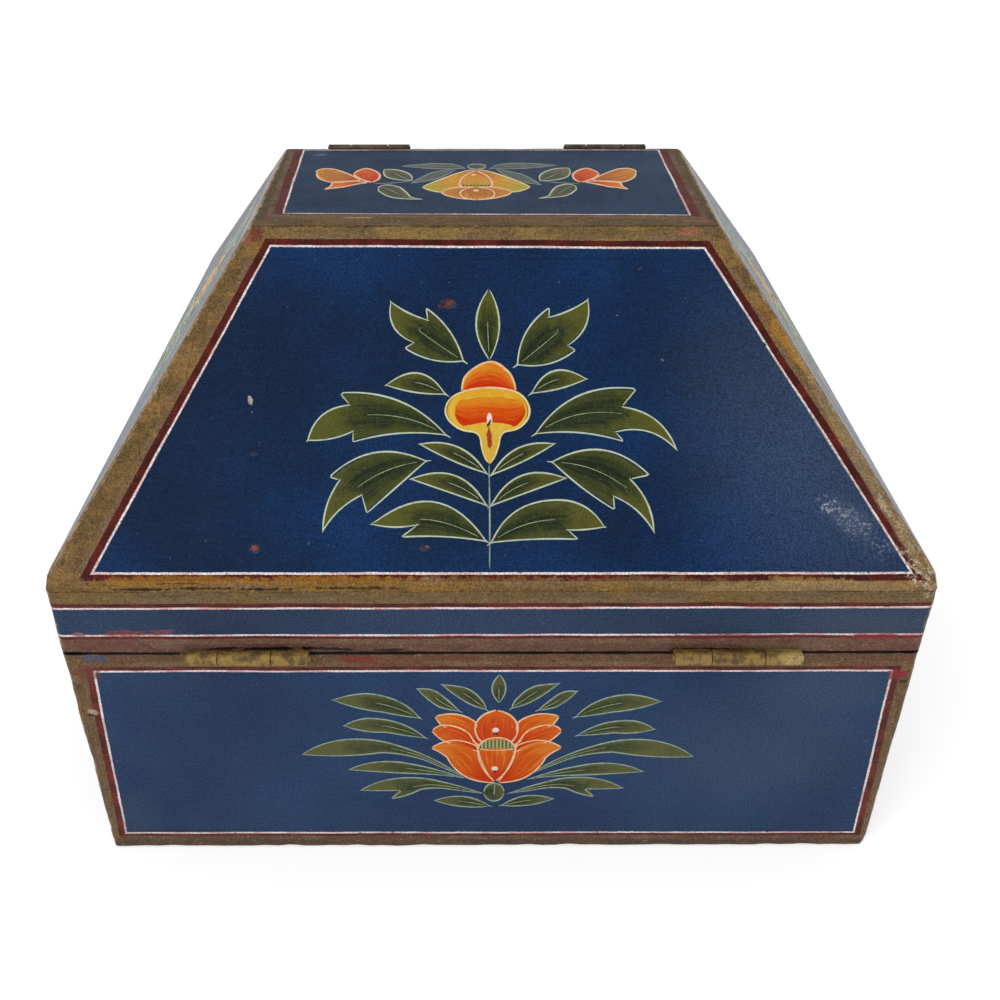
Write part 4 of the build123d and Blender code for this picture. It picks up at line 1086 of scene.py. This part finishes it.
# The wall's lotus between fans of narrow leaves, in millimetres from the middle of the foot.
wallPosy = {
    "axis": 2.6,
    "crest": ((3.3, 88.5), [(3.4, 103.8, 0.19)], [(3.4, 103.8, -0.17)]),
    "leaves": [
        ((-29.3, 80), [(-50.5, 93.6, -0.13), (-64.2, 90.1, -0.05)],
         [(-44.6, 83.4, 0.02), (-64.2, 90.1, 0.05)],
         (35, 80.4), (69.2, 88.9)),
        ((-27.4, 68.7), [(-51, 79.8, -0.12), (-60.7, 75.6, -0.07)],
         [(-43.4, 71.9, 0.02), (-60.7, 75.6, 0.07)],
         (36.4, 69.8), (67.9, 73.3)),
        ((-12.3, 45.8), [(-38.3, 63.8, -0.05), (-60, 67.7, -0.07), (-79.3, 59, -0.08)],
         [(-27.5, 55.3, 0), (-45.7, 60, -0.05), (-79.3, 59, 0.04)], (18, 47.5), (85.8, 57.2)),
        ((-12.3, 44.8), [(-35, 53.4, -0.03), (-48, 54.3, -0.05), (-60.1, 49.8, -0.06)],
         [(-27.7, 47, -0.02), (-60.1, 49.8, 0.01)], (17.1, 44), (65.3, 48.2)),
        ((-3.9, 35.2), [(-20.4, 42, -0.02), (-40.9, 44.2, -0.07), (-55.8, 37.1, -0.07)],
         [(-20.4, 38.2, 0.01), (-30, 37.6, -0.04), (-43.3, 31.6, 0.06), (-37.9, 37.1, 0),
          (-55.8, 37.1, 0.02)], (8.7, 35.1), (57.2, 38.1)),
        ((-0.3, 27), [(-11.1, 32.9, -0.07), (-23.9, 30.5, -0.08)], [(-10, 26.4, 0.05), (-23.9, 30.5, 0.06)],
         (5.4, 27.4), (27.4, 31.4)),
        ((-13, 83.9), [(-21.3, 93.9, -0.02), (-29.6, 96, -0.12)], [(-21, 86.1, 0.04), (-29.6, 96, 0.05)],
         (19.6, 84.3), (34.7, 94.5)),
        ((-2, 84.8), [(-4.5, 90.9, -0.08), (-11, 96.9, -0.08), (-19.6, 98.3, -0.02)],
         [(-9, 88, 0.04), (-19.6, 98.3, 0.03)], (8.7, 85.5), (27.2, 98.8))],
    "petals": [
        ((-3, 63), [(-6.2, 77.5, 0), (-22.9, 80.8, -0.17)],
         [(-12, 70, 0), (-20.4, 75.9, 0), (-22.9, 80.8, 0.04)], "petal"),
        ((-3, 60), [(-8.9, 70.9, 0.02), (-20.4, 75.9, -0.12), (-24.3, 72.6, -0.08)],
         [(-12, 63, 0), (-19.6, 66.8, 0), (-24.3, 72.6, 0.05)], "petalRed"),
        ((1.9, 41.8), [(-5.6, 63.8, 0.05), (-14.3, 67.3, -0.06), (-24.8, 62.6, -0.10)],
         [(-9.5, 44.6, 0.07), (-18.3, 57.2, 0.08), (-24.8, 62.7, -0.04)], "petal")],
    "top": ((2.5, 61), [(-4.4, 67.0, 0), (-6.3, 76, 0.09), (2.4, 84.3, 0.15)],
            [(9.5, 67.0, 0), (11.1, 76, -0.09), (2.4, 84.3, -0.15)]),
    "heart": ((2.1, 42.6), [(-5.3, 60.9, 0.09), (-3.9, 65.6, 0.08), (2.6, 69, 0.12)],
              [(10.5, 60.9, -0.09), (9.1, 65.6, -0.08), (2.6, 69, -0.12)]),
    "eye": ((-5.0, 62.4), [(-3.7, 66.0, 0.08), (2.6, 69.0, 0.12), (8.9, 66.0, 0.12), (10.2, 62.4, 0.08)],
            [(10.2, 62.4, -0.05)]),
    "dots": [(2.1, 73.2), (1.9, 50.6)],
    "knob": (1.7, 35.8, 4.3, 5.6)}


def wallPosyLayers(crest=True):
    posy, look = wallPosy, leafLooks["wall"]
    axis = posy["axis"]
    layers = leafLayers(*posy["crest"], look, 0.3, tailLength=0.4) if crest else []
    for k, (foot, upper, lower, *other) in enumerate(posy["leaves"]):
        layers += leafLayers(foot, upper, lower, look, k + 1.0, tailLength=2.0)
        layers += leafLayers(*opposite(axis, foot, upper, lower, *other), look, k + 11.0, tailLength=2.0)
    lifts = [petalLook["lowest"] + petalLook["step"] * k for k in range(5)]
    for k, (*shape, material) in enumerate(posy["petals"]):
        petal = (material, "blush", 0.85, lifts[k])
        layers += petalLayers(*shape, petal, k + 2.0) + petalLayers(*flipped(axis, *shape), petal, k + 5.0)
    layers += petalLayers(*posy["top"], ("petalRed", "blush", 0.9, lifts[3]), 8.0)
    layers += petalLayers(*posy["heart"], ("petal", "blush", 0.9, lifts[4]), 9.0)
    foot, upper, lower = posy["eye"]
    layers.append(spotLayer(foot, upper, lower, "stripe", 0.55, 1.0))
    layers += [inkLine(edgeCurve(foot, upper), 0.8, 0.6, "blush", 0.1, 0.8),
               inkLine(edgeCurve(foot, lower), 0.6, 0.6, "blush", 0.2, 0.8)]
    for x, y in posy["dots"]:
        layers += discLayers((x, y), 1.45, 1.9, "dot", 0.6)
        layers += discLayers((x + 0.2, y - 1.7), 0.65, 1.1, "ink", 0.66)
    x, y, radiusX, radiusY = posy["knob"]
    layers += knobLayers(x, y, radiusX, radiusY, "leafPale", 0.4, 0.75)
    layers.append(inkLine(edgeCurve((x, y - 2), [(x + 0.4, y + radiusY, 0)]), 0.7, 0.46, "rimPale", 0.6, 0.6))
    return layers


# The crown's hanging lotus with a tulip on each side, from the middle of the crown. The
# leaves again carry the foot and tip of their opposites.
crownPosy = {
    "axis": -3.4,
    "leaves": [
        ((-33.3, 4.8), [(-37, 17.5, -0.12), (-46.6, 21.2, -0.14)], [(-44.8, 9.5, 0.14), (-46.6, 21.2, 0.08)],
         (26.1, 4.1), (40.2, 23.0), "crown"),
        ((-47.3, -5.5), [(-43.5, -2, 0.2), (-37.9, -5.7, 0.06), (-32.7, -19, 0.03), (-27.4, -22.2, -0.06)],
         [(-45.2, -14, -0.12), (-39.5, -20.4, -0.08), (-27.4, -22.2, -0.04)],
         (41.2, -4.0), (24.2, -20.8), "crown"),
        ((-8.9, 22.6), [(-15.4, 29.6, -0.10), (-24.9, 30.2, -0.04), (-38.5, 26.3, -0.03)],
         [(-24.1, 22.4, 0.04), (-38.5, 26.3, 0.03)], (3.3, 22.4), (34.4, 27.1), "faded"),
        ((-12.5, 22.3), [(-25, 15.2, -0.05), (-33.1, 0.4, -0.03)], [(-23.5, 5.0, 0.05), (-33.1, 0.4, 0.02)],
         (6.5, 20.5), (25.8, -2.3), "faded")],
    "stalk": ((-50.5, 0), [(-33, 3.6, -0.05)]),
    "wing": ((-4, 20.5), [(-9.5, 17.6, -0.08), (-17, 9.4, -0.04), (-27.8, -4.9, -0.02)],
             [(-3, -4, 0), (-18.3, -12.4, 0.02), (-23.4, -10.4, 0.1), (-27.8, -4.9, 0.06)]),
    "side": ((-5, -4), [(-13, -6.4, 0.05), (-19.2, -12.0, -0.06)],
             [(-5.4, -22.4, 0), (-13.6, -19.4, 0.08), (-19.2, -12.0, 0.12)]),
    "lip": ((-3.3, -6.6), [(-8.6, -8.6, -0.1), (-10.6, -15.5, -0.1), (-8.2, -21.2, -0.1), (-3.1, -23, -0.08)],
            [(2.4, -8.8, 0.1), (4.6, -15.8, 0.1), (2.4, -21.2, 0.1), (-3.1, -23, 0.08)]),
    "heart": ((-3.6, 18.2), [(-10.9, 0.6, -0.10), (-9.8, -5.6, -0.12), (-3.6, -6.6, -0.05)],
              [(3.6, 0.6, 0.10), (2.6, -5.6, 0.12), (-3.6, -6.6, 0.05)]),
    "knob": (-3.1, 25.2, 4.3, 4.0),
    "dots": [(-4.6, 11.6), (-3.6, -11.0)],
    "teeth": (-9.2, 2.2, 8),
    "tulip": [
        ((-56.5, 4.5), [(-68.8, 20.4, -0.04), (-75, 22.8, -0.10), (-77.8, 15.8, -0.22)],
         [(-64, 3.2, 0), (-70.3, 2, 0), (-77.8, 15.8, 0.13)], "petalBrown"),
        ((-53, 1.5), [(-58.7, 3.4, 0), (-69.4, 0.8, 0), (-71.8, -8.5, 0.12)],
         [(-63.9, -5.4, -0.03), (-71.8, -8.5, -0.03)], "petal"),
        ((-51.2, 1.4), [(-48.2, 9, -0.10), (-51, 18.6, -0.10), (-55.6, 22.6, -0.08), (-60.5, 13.7, -0.10)],
         [(-55.9, 5.2, 0.02), (-60.5, 13.7, 0.05)], "petalRed")]}


def crownPosyLayers():
    posy = crownPosy
    axis = posy["axis"]
    layers = []
    for side in (-1, 1):
        def sided(*shape):
            return flipped(axis, *shape) if side > 0 else shape

        for k, (foot, upper, lower, otherFoot, otherTip, look) in enumerate(posy["leaves"]):
            shape = foot, upper, lower
            if side > 0:
                shape = opposite(axis, foot, upper, lower, otherFoot, otherTip)
            layers += leafLayers(*shape, leafLooks[look], k + 4.0 + side, tailLength=1.2)
        layers.append(inkLine(edgeCurve(*sided(*posy["stalk"])), 0.8, 0.15, "rimFaded", 0.5, 0.5))
        for k, (*shape, material) in enumerate(posy["tulip"]):
            petal = (material, "blush", 1.2, petalLook["lowest"] + petalLook["step"] * k)
            layers += petalLayers(*sided(*shape), petal, k + 2.0 * side)
        layers += petalLayers(*sided(*posy["wing"]), ("petalGold", "cream", 1.1, 0.14), 5.0 + side)
        layers += petalLayers(*sided(*posy["side"]), ("petalBrown", "blush", 1.0, 0.24), 6.0 + side)
    layers += petalLayers(*posy["lip"], ("petalBrown", "blush", 1.1, 0.32), 7.0)
    layers += petalLayers(*posy["heart"], ("petalGold", "blush", 1.1, 0.42), 8.0)
    for x in np.linspace(*posy["teeth"]):
        layers += discLayers((x, -3.9), 0.55, 1.3, "leaf", 0.52)
    for centre in posy["dots"]:
        layers += discLayers(centre, 1.3, 1.7, "cream", 0.52)
    return layers + knobLayers(*posy["knob"], "leaf", 0.3, 0.9)


def moved(layers, scale, shift, turn=0.0):  # the same layers smaller, turned and somewhere else on the face
    spin = np.array([[math.cos(turn), math.sin(turn)], [-math.sin(turn), math.cos(turn)]])
    return [{**one, "uv": one["uv"] @ spin * scale + np.array(shift)} for one in layers]


# Where the posies stand: size and place of the slope's on the sides and, twice, on the flap. The
# box is widest at the base's sides, so there the paint lies thin.
ornamentLook = {"side": (0.86, (0, 2)), "flap": [(0.72, (-66, 10), 0.1), (0.72, (66, 10), -0.1)],
                "thin": 0.2}


def addOrnament():
    look, slope, wall = ornamentLook, slopePosyLayers(), wallPosyLayers()
    thin = [{**one, "height": one["height"] * look["thin"]} for one in wall]
    side, pair = moved(slope, *look["side"]), sum((moved(slope, *place) for place in look["flap"]), [])
    for name, face, layers, body in (("BackSlope", slopeFace["Back"], slope, "lid"),
                                     ("Crown", crownFace, crownPosyLayers(), "lid"),
                                     ("LeftSlope", slopeFace["Left"], side, "lid"),
                                     ("RightSlope", slopeFace["Right"], side, "lid"),
                                     ("Flap", slopeFace["Front"], pair, "front_flap"),
                                     ("Back", baseFace["Back"], wall, "base"),
                                     ("Left", baseFace["Left"], thin, "base"),
                                     ("Right", baseFace["Right"], thin, "base"),
                                     ("Front", baseFace["Front"], wallPosyLayers(False), "base")):
        addPiece(layMesh("posy" + name, face, layers), body, "painted_pine")


addOrnament()
print("ornament painted")


# Beds of the metal, cut out of a board: boxes by their lowest and highest corner.
def carve(piece, boxes):
    pick = np.array(list(np.ndindex(2, 2, 2)))
    faces = [(0, 1, 3, 2), (4, 6, 7, 5), (0, 4, 5, 1), (2, 3, 7, 6), (0, 2, 6, 4), (1, 5, 7, 3)]
    tools = []
    for low, high in boxes:
        mesh = bpy.data.meshes.new("cutter")
        mesh.from_pydata((np.where(pick, high, low) * toMetres).tolist(), [], faces)
        tool = bpy.data.objects.new("cutter", mesh)
        bpy.context.collection.objects.link(tool)
        cut = piece.modifiers.new("bed", "BOOLEAN")
        cut.operation, cut.solver, cut.object = "DIFFERENCE", "EXACT", tool
        tools.append(tool)
    view = bpy.context.evaluated_depsgraph_get()
    cutPiece = piece.evaluated_get(view)
    mesh = bpy.data.meshes.new_from_object(cutPiece, preserve_all_data_layers=True, depsgraph=view)
    piece.modifiers.clear()
    piece.data = mesh
    mesh.set_sharp_from_angle(angle=0.6)
    for tool in tools:
        bpy.data.meshes.remove(tool.data)


# The lid hinges' beds are as deep as a leaf is thick. The flap hinges' leaves stand on edge in
# theirs, and a wider hollow over them takes the barrel. over is how far a cutter reaches out.
bedLook = {"lidLeaf": 1.5, "flapLeaf": 1.2, "barrelEnd": 1.2, "barrelHalf": 2.0, "barrelDepth": 1.9,
           "over": 1.0}


def addBeds():
    look, baseTop, lidLow, crown = bedLook, form["baseTop"], form["lidLow"], form["crown"]
    over = look["over"]

    def spans(box):  # from and to in x of the hinge on the left and on the right
        return [sorted((side * box[0][0], side * box[1][0])) for side in (-1, 1)]

    leaf = boxOf("lid_hinge_right_base_leaf")
    for name, low, high in (("baseBack", baseTop - look["lidLeaf"], baseTop + over),
                            ("rimBack", lidLow - over, lidLow + look["lidLeaf"])):
        carve(bpy.data.objects[name], [((start, leaf[0][1], low), (end, form["halfDepth"] + over, high))
                                       for start, end in spans(leaf)])
    leaf = boxOf("flap_hinge_right_top_leaf")
    jointY = {"crownBoard": boxOf("top_board")[0][1], "frontFlap": boxOf("front_flap_board")[1][1]}
    middle = sum(jointY.values()) / 2
    for name, y in jointY.items():
        inwards = np.sign(y - middle)
        ys = sorted((y + look["flapLeaf"] * inwards, y - over * inwards))
        half, beyond, boxes = look["barrelHalf"], look["barrelEnd"], []
        for start, end in spans(leaf):
            boxes.append(((start, ys[0], leaf[0][2]), (end, ys[1], crown + over)))
            boxes.append(((start - beyond, middle - half, crown - look["barrelDepth"]),
                          (end + beyond, middle + half, crown + over)))
        carve(bpy.data.objects[name], boxes)


floorBoard = boardMesh("lidFloor", upright(*zip(*boxOf("lid_floor_board"))), [], {}, 0.1, 51)
addPiece(floorBoard, "lid", "bare_pine", "lid_floor_board")
addBeds()
print("beds cut")


# Nails are found as the loose parts of the CAD nails: points that an edge joins take the
# lower of their two numbers, until nothing changes.
def looseParts(node):
    points = np.zeros(len(node.data.vertices) * 3, np.float32)
    node.data.vertices.foreach_get("co", points)
    matrix = np.array(node.matrix_world)
    points = (points.reshape(-1, 3) @ matrix[:3, :3].T + matrix[:3, 3]) / toMetres
    edges = np.zeros(len(node.data.edges) * 2, np.int32)
    node.data.edges.foreach_get("vertices", edges)
    points, where = np.unique(np.round(points, 3), axis=0, return_inverse=True)
    edges = where.reshape(-1)[edges.reshape(-1, 2)]
    label = np.arange(len(points))
    while True:
        lowest = np.minimum(label[edges[:, 0]], label[edges[:, 1]])
        joined = label.copy()
        np.minimum.at(joined, edges[:, 0], lowest)
        np.minimum.at(joined, edges[:, 1], lowest)
        if (joined == label).all():
            return [points[label == k] for k in np.unique(label)]
        label = joined


# A nail is a ring carried down a profile: (height above the face, radius) for the head, which
# wears the paint of its face as far as the rings that are painted, then (share of the shank,
# radius) down to the point. reach finds the head's points near a face.
nailLook = {"head": [(0.11, 0.8), (0.08, 1.5), (0.02, 2.0), (-0.2, 2.2), (-0.9, 1.3)], "painted": 4,
            "shank": [(0.08, 0.85), (0.98, 0.32)], "top": 0.12, "around": 20, "reach": 0.3}


def headOn(part, coats):  # the face, its paint and the middle of the head, for a nail in a painted face
    for face, material in coats:
        lying = onFace(face, part[np.abs((part - face["origin"]) @ face["n"]) < nailLook["reach"]])
        if len(lying) >= 4:  # the head's four corners, with those of a shank that leans
            centre = (lying.min(0) + lying.max(0)) / 2
            if borderDistances(face["outline"], centre[None]).min() > 0:
                return face, material, centre
    return None


def nailPoints(face, centre, part):
    angle = np.linspace(0, 2 * math.pi, nailLook["around"], endpoint=False)
    top = fromFace(face, centre)
    tip = part[np.argsort(-np.linalg.norm(part - top, axis=1))[:4]].mean(0)
    circle = np.cos(angle)[:, None] * face["u"] + np.sin(angle)[:, None] * face["v"]
    rings = [top + circle * r + face["n"] * h for h, r in nailLook["head"]]
    rings += [top + (tip - top) * share + circle * r for share, r in nailLook["shank"]]
    return np.concatenate([fromFace(face, centre, nailLook["top"])[None], *rings, tip[None]])


def addNails(nodeName, body):
    coats = []
    for faces, kind, plain in ((baseFace, "base", "base"), (rimFace, "rim", "rim"),
                               (slopeFace, "slope", "slopeSide")):
        coats += [(face, paint[kind + "Back" if side == "Back" else plain]) for side, face in faces.items()]
    coats.append((crownFace, paint["crownBack"]))
    around, rows = nailLook["around"], len(nailLook["head"]) + len(nailLook["shank"])
    ring = 1 + np.arange(rows * around).reshape(rows, around)
    following, total = np.roll(ring, -1, axis=1), rows * around + 2
    bands = [np.stack([ring[0] * 0, ring[0], following[0]], -1)]
    bands += [np.stack([ring[k], ring[k + 1], following[k + 1], following[k]], -1) for k in range(rows - 1)]
    bands.append(np.stack([ring[-1], ring[-1] * 0 + total - 1, following[-1]], -1))
    points, faces, slots, uvs, borders, panels, materials = [], [], [], [], [], [], [metal["rust"]]
    for part in looseParts(frame["nodes"][nodeName]):
        found = headOn(part, coats)
        if found is None:
            continue
        face, material, centre = found
        if material not in materials:
            materials.append(material)
        for k, band in enumerate(bands):
            faces += (band + total * len(points)).tolist()
            slots += [materials.index(material) if k < nailLook["painted"] else 0] * around
        points.append(nailPoints(face, centre, part))
        uvs.append(onFace(face, points[-1]))
        borders.append(borderDistances(face["outline"], uvs[-1]))
        panels.append(panelDistances(face, uvs[-1]))
    mesh = bpy.data.meshes.new(nodeName + "_forged")
    mesh.from_pydata((np.concatenate(points) * toMetres).tolist(), [], faces)
    corners = cornerPoints(mesh)
    uv, border, panel = (np.concatenate(values)[corners] for values in (uvs, borders, panels))
    dress(mesh, materials, slots, np.ones(len(faces)), uv, {"border": border, "panel": panel})
    print(nodeName, len(points), "nails")
    addPiece(mesh, body, "nail_iron", nodeName)


# Plain metal, aged, with dirt in its pits: two colours, roughness and how metallic it is.
metalLook = {"lid hinge": ("93763c", "5c4829", 0.55, 0.35), "flap hinge": ("5c4c38", "392e22", 0.6, 0.35),
             "iron": ("3b3631", "221d19", 0.6, 0.6), "rust": ("5a4030", "2e2019", 0.85, 0.3)}
# rubbed brass with a painted highlight on it, at the outer end of the left lid hinge
rubbedBrassHighlight = {"from": -0.108, "to": -0.118, "tone": "c9b072"}  # x in metres, on the left lid hinge


def metalMaterial(name, light, dark, rough, metallic):
    kit = nodeBench(name)
    calc, times, mix, tint, noise, step = (kit[k] for k in ("calc", "times", "mix", "tint", "noise", "step"))
    cloud, pits = noise(kit["place"], 220, 4, 0.65), noise(kit["place"], 1400, 3, 0.7)
    color = mix(step(cloud, 0.42, 0.62), light, dark)
    # a painted highlight over the rubbed brass at the left hinge's outer end
    if name == "lid hinge":  # rubbed bright at the left hinge's outer end
        x = kit["make"]("SeparateXYZ", {0: kit["place"]})
        rubbed = times(step(x, rubbedBrassHighlight["from"], rubbedBrassHighlight["to"]), step(pits, 0.42, 0.55))
        color = tint(color, rubbed, 0.8, rubbedBrassHighlight["tone"])
    color = tint(color, step(pits, 0.55, 0.7), 0.5, "1c1712")
    gloss = calc("ADD", rough - 0.2, times(cloud, 0.4))
    return kit["finish"](color, gloss, calc("ADD", cloud, pits), bump=0.5, depth=0.0002, metal=metallic)


metal = {name: metalMaterial(name, *look) for name, look in metalLook.items()}
for nodeName, node in frame["nodes"].items():
    if "nails" in nodeName:
        chosen = metal["rust"]
    elif nodeName.startswith("hasp"):
        chosen = metal["iron"]
    elif "hinge" in nodeName:
        chosen = metal["lid hinge" if nodeName.startswith("lid") else "flap hinge"]
    else:
        chosen = bareWood
    node.data.materials.clear()
    node.data.materials.append(chosen)
addNails("base_wall_nails", "base")
for nodeName in ("rim_nails", "lid_floor_nails", "slope_nails", "top_nails"):
    addNails(nodeName, "lid")
print("metal ready")


# Pale floor, white surroundings, soft light from the upper left, and the camera of the
# photograph. The floor glows for camera and glossy rays only, so that it is white with the shadow
# on it. Stage and lamps are in metres, the camera's place and its sensor in millimetres.
stageLook = {"floor": (0.93, 0.93, 0.93, 1), "floorHalf": 3.0, "floorRough": 0.9, "floorSpecular": 0.1,
             "floorGlow": 0.45, "white": (1, 1, 1, 1), "world": 0.62}
lampLook = {"key": {"place": (1.3, 1.5, 1.7), "size": 1.2, "power": 14.0},
            "fill": {"place": (-1.6, 1.2, 1.2), "size": 1.6, "power": 5.0}, "aim": (0, 0, 0.1)}
cameraLook = {"place": (6.73, 506.8, 406.3), "down": 34.03, "turn": 179.83, "focalPixels": 1117.1,
              "centrePixel": (476.8, 516.1), "frame": 1000, "sensor": 36.0}


def seenBy(tree, rays):  # 1 for the kinds of ray that are named, 0 for all others
    path = tree.nodes.new("ShaderNodeLightPath")
    seen = path.outputs[rays[0]]
    for ray in rays[1:]:
        either = tree.nodes.new("ShaderNodeMath")
        either.operation = "MAXIMUM"
        tree.links.new(seen, either.inputs[0])
        tree.links.new(path.outputs[ray], either.inputs[1])
        seen = either.outputs[0]
    return seen


def addFloor():
    floor = bpy.data.meshes.new("floor")
    corners = [(x * stageLook["floorHalf"], y * stageLook["floorHalf"], 0)
               for x, y in ((-1, -1), (1, -1), (1, 1), (-1, 1))]
    floor.from_pydata(corners, [], [(0, 1, 2, 3)])
    ground = bpy.data.objects.new("floor", floor)
    bpy.context.collection.objects.link(ground)
    material = bpy.data.materials.new("pale floor")
    material.use_nodes = True
    tree = material.node_tree
    nodes, links = tree.nodes, tree.links
    shader = nodes["Principled BSDF"]
    shader.inputs["Base Color"].default_value = stageLook["floor"]
    shader.inputs["Roughness"].default_value = stageLook["floorRough"]
    shader.inputs["Specular IOR Level"].default_value = stageLook["floorSpecular"]
    glow, both, level = (nodes.new("ShaderNode" + kind) for kind in ("Emission", "AddShader", "Math"))
    level.operation = "MULTIPLY"
    level.inputs[1].default_value = stageLook["floorGlow"]
    links.new(seenBy(tree, ("Is Camera Ray", "Is Glossy Ray")), level.inputs[0])
    links.new(level.outputs[0], glow.inputs["Strength"])
    links.new(shader.outputs[0], both.inputs[0])
    links.new(glow.outputs[0], both.inputs[1])
    links.new(both.outputs[0], nodes["Material Output"].inputs["Surface"])
    floor.materials.append(material)


def addSurroundings():
    world = bpy.data.worlds.new("white room")
    world.use_nodes = True
    tree = world.node_tree
    background = tree.nodes["Background"]
    background.inputs["Color"].default_value = stageLook["white"]
    level = tree.nodes.new("ShaderNodeMapRange")
    level.inputs["To Min"].default_value = stageLook["world"]
    level.inputs["To Max"].default_value = 1.0
    direct = seenBy(tree, ("Is Camera Ray", "Is Glossy Ray", "Is Transmission Ray"))
    tree.links.new(direct, level.inputs["Value"])
    tree.links.new(level.outputs["Result"], background.inputs["Strength"])
    bpy.context.scene.world = world


def addLamp(name):
    look = lampLook[name]
    lamp = bpy.data.lights.new(name, "AREA")
    lamp.energy, lamp.size = look["power"], look["size"]
    light = bpy.data.objects.new(name, lamp)
    bpy.context.collection.objects.link(light)
    light.location = look["place"]
    toAim = np.array(lampLook["aim"]) - np.array(look["place"])
    light.rotation_euler = (math.acos(-toAim[2] / np.linalg.norm(toAim)), 0,
                            math.atan2(toAim[1], toAim[0]) - math.pi / 2)


def addCamera():
    look, lens = cameraLook, bpy.data.cameras.new("camera")
    lens.sensor_width = look["sensor"]
    lens.lens = look["focalPixels"] / look["frame"] * look["sensor"]
    lens.shift_x = 0.5 - look["centrePixel"][0] / look["frame"]
    lens.shift_y = look["centrePixel"][1] / look["frame"] - 0.5
    camera = bpy.data.objects.new("camera", lens)
    bpy.context.collection.objects.link(camera)
    camera.location = np.array(look["place"]) * toMetres
    camera.rotation_euler = (math.radians(90 - look["down"]), 0, math.radians(look["turn"]))
    bpy.context.scene.camera = camera
    bpy.context.scene.view_settings.view_transform = "Standard"


addFloor()
addSurroundings()
addLamp("key")
addLamp("fill")
addCamera()
print("stage ready")
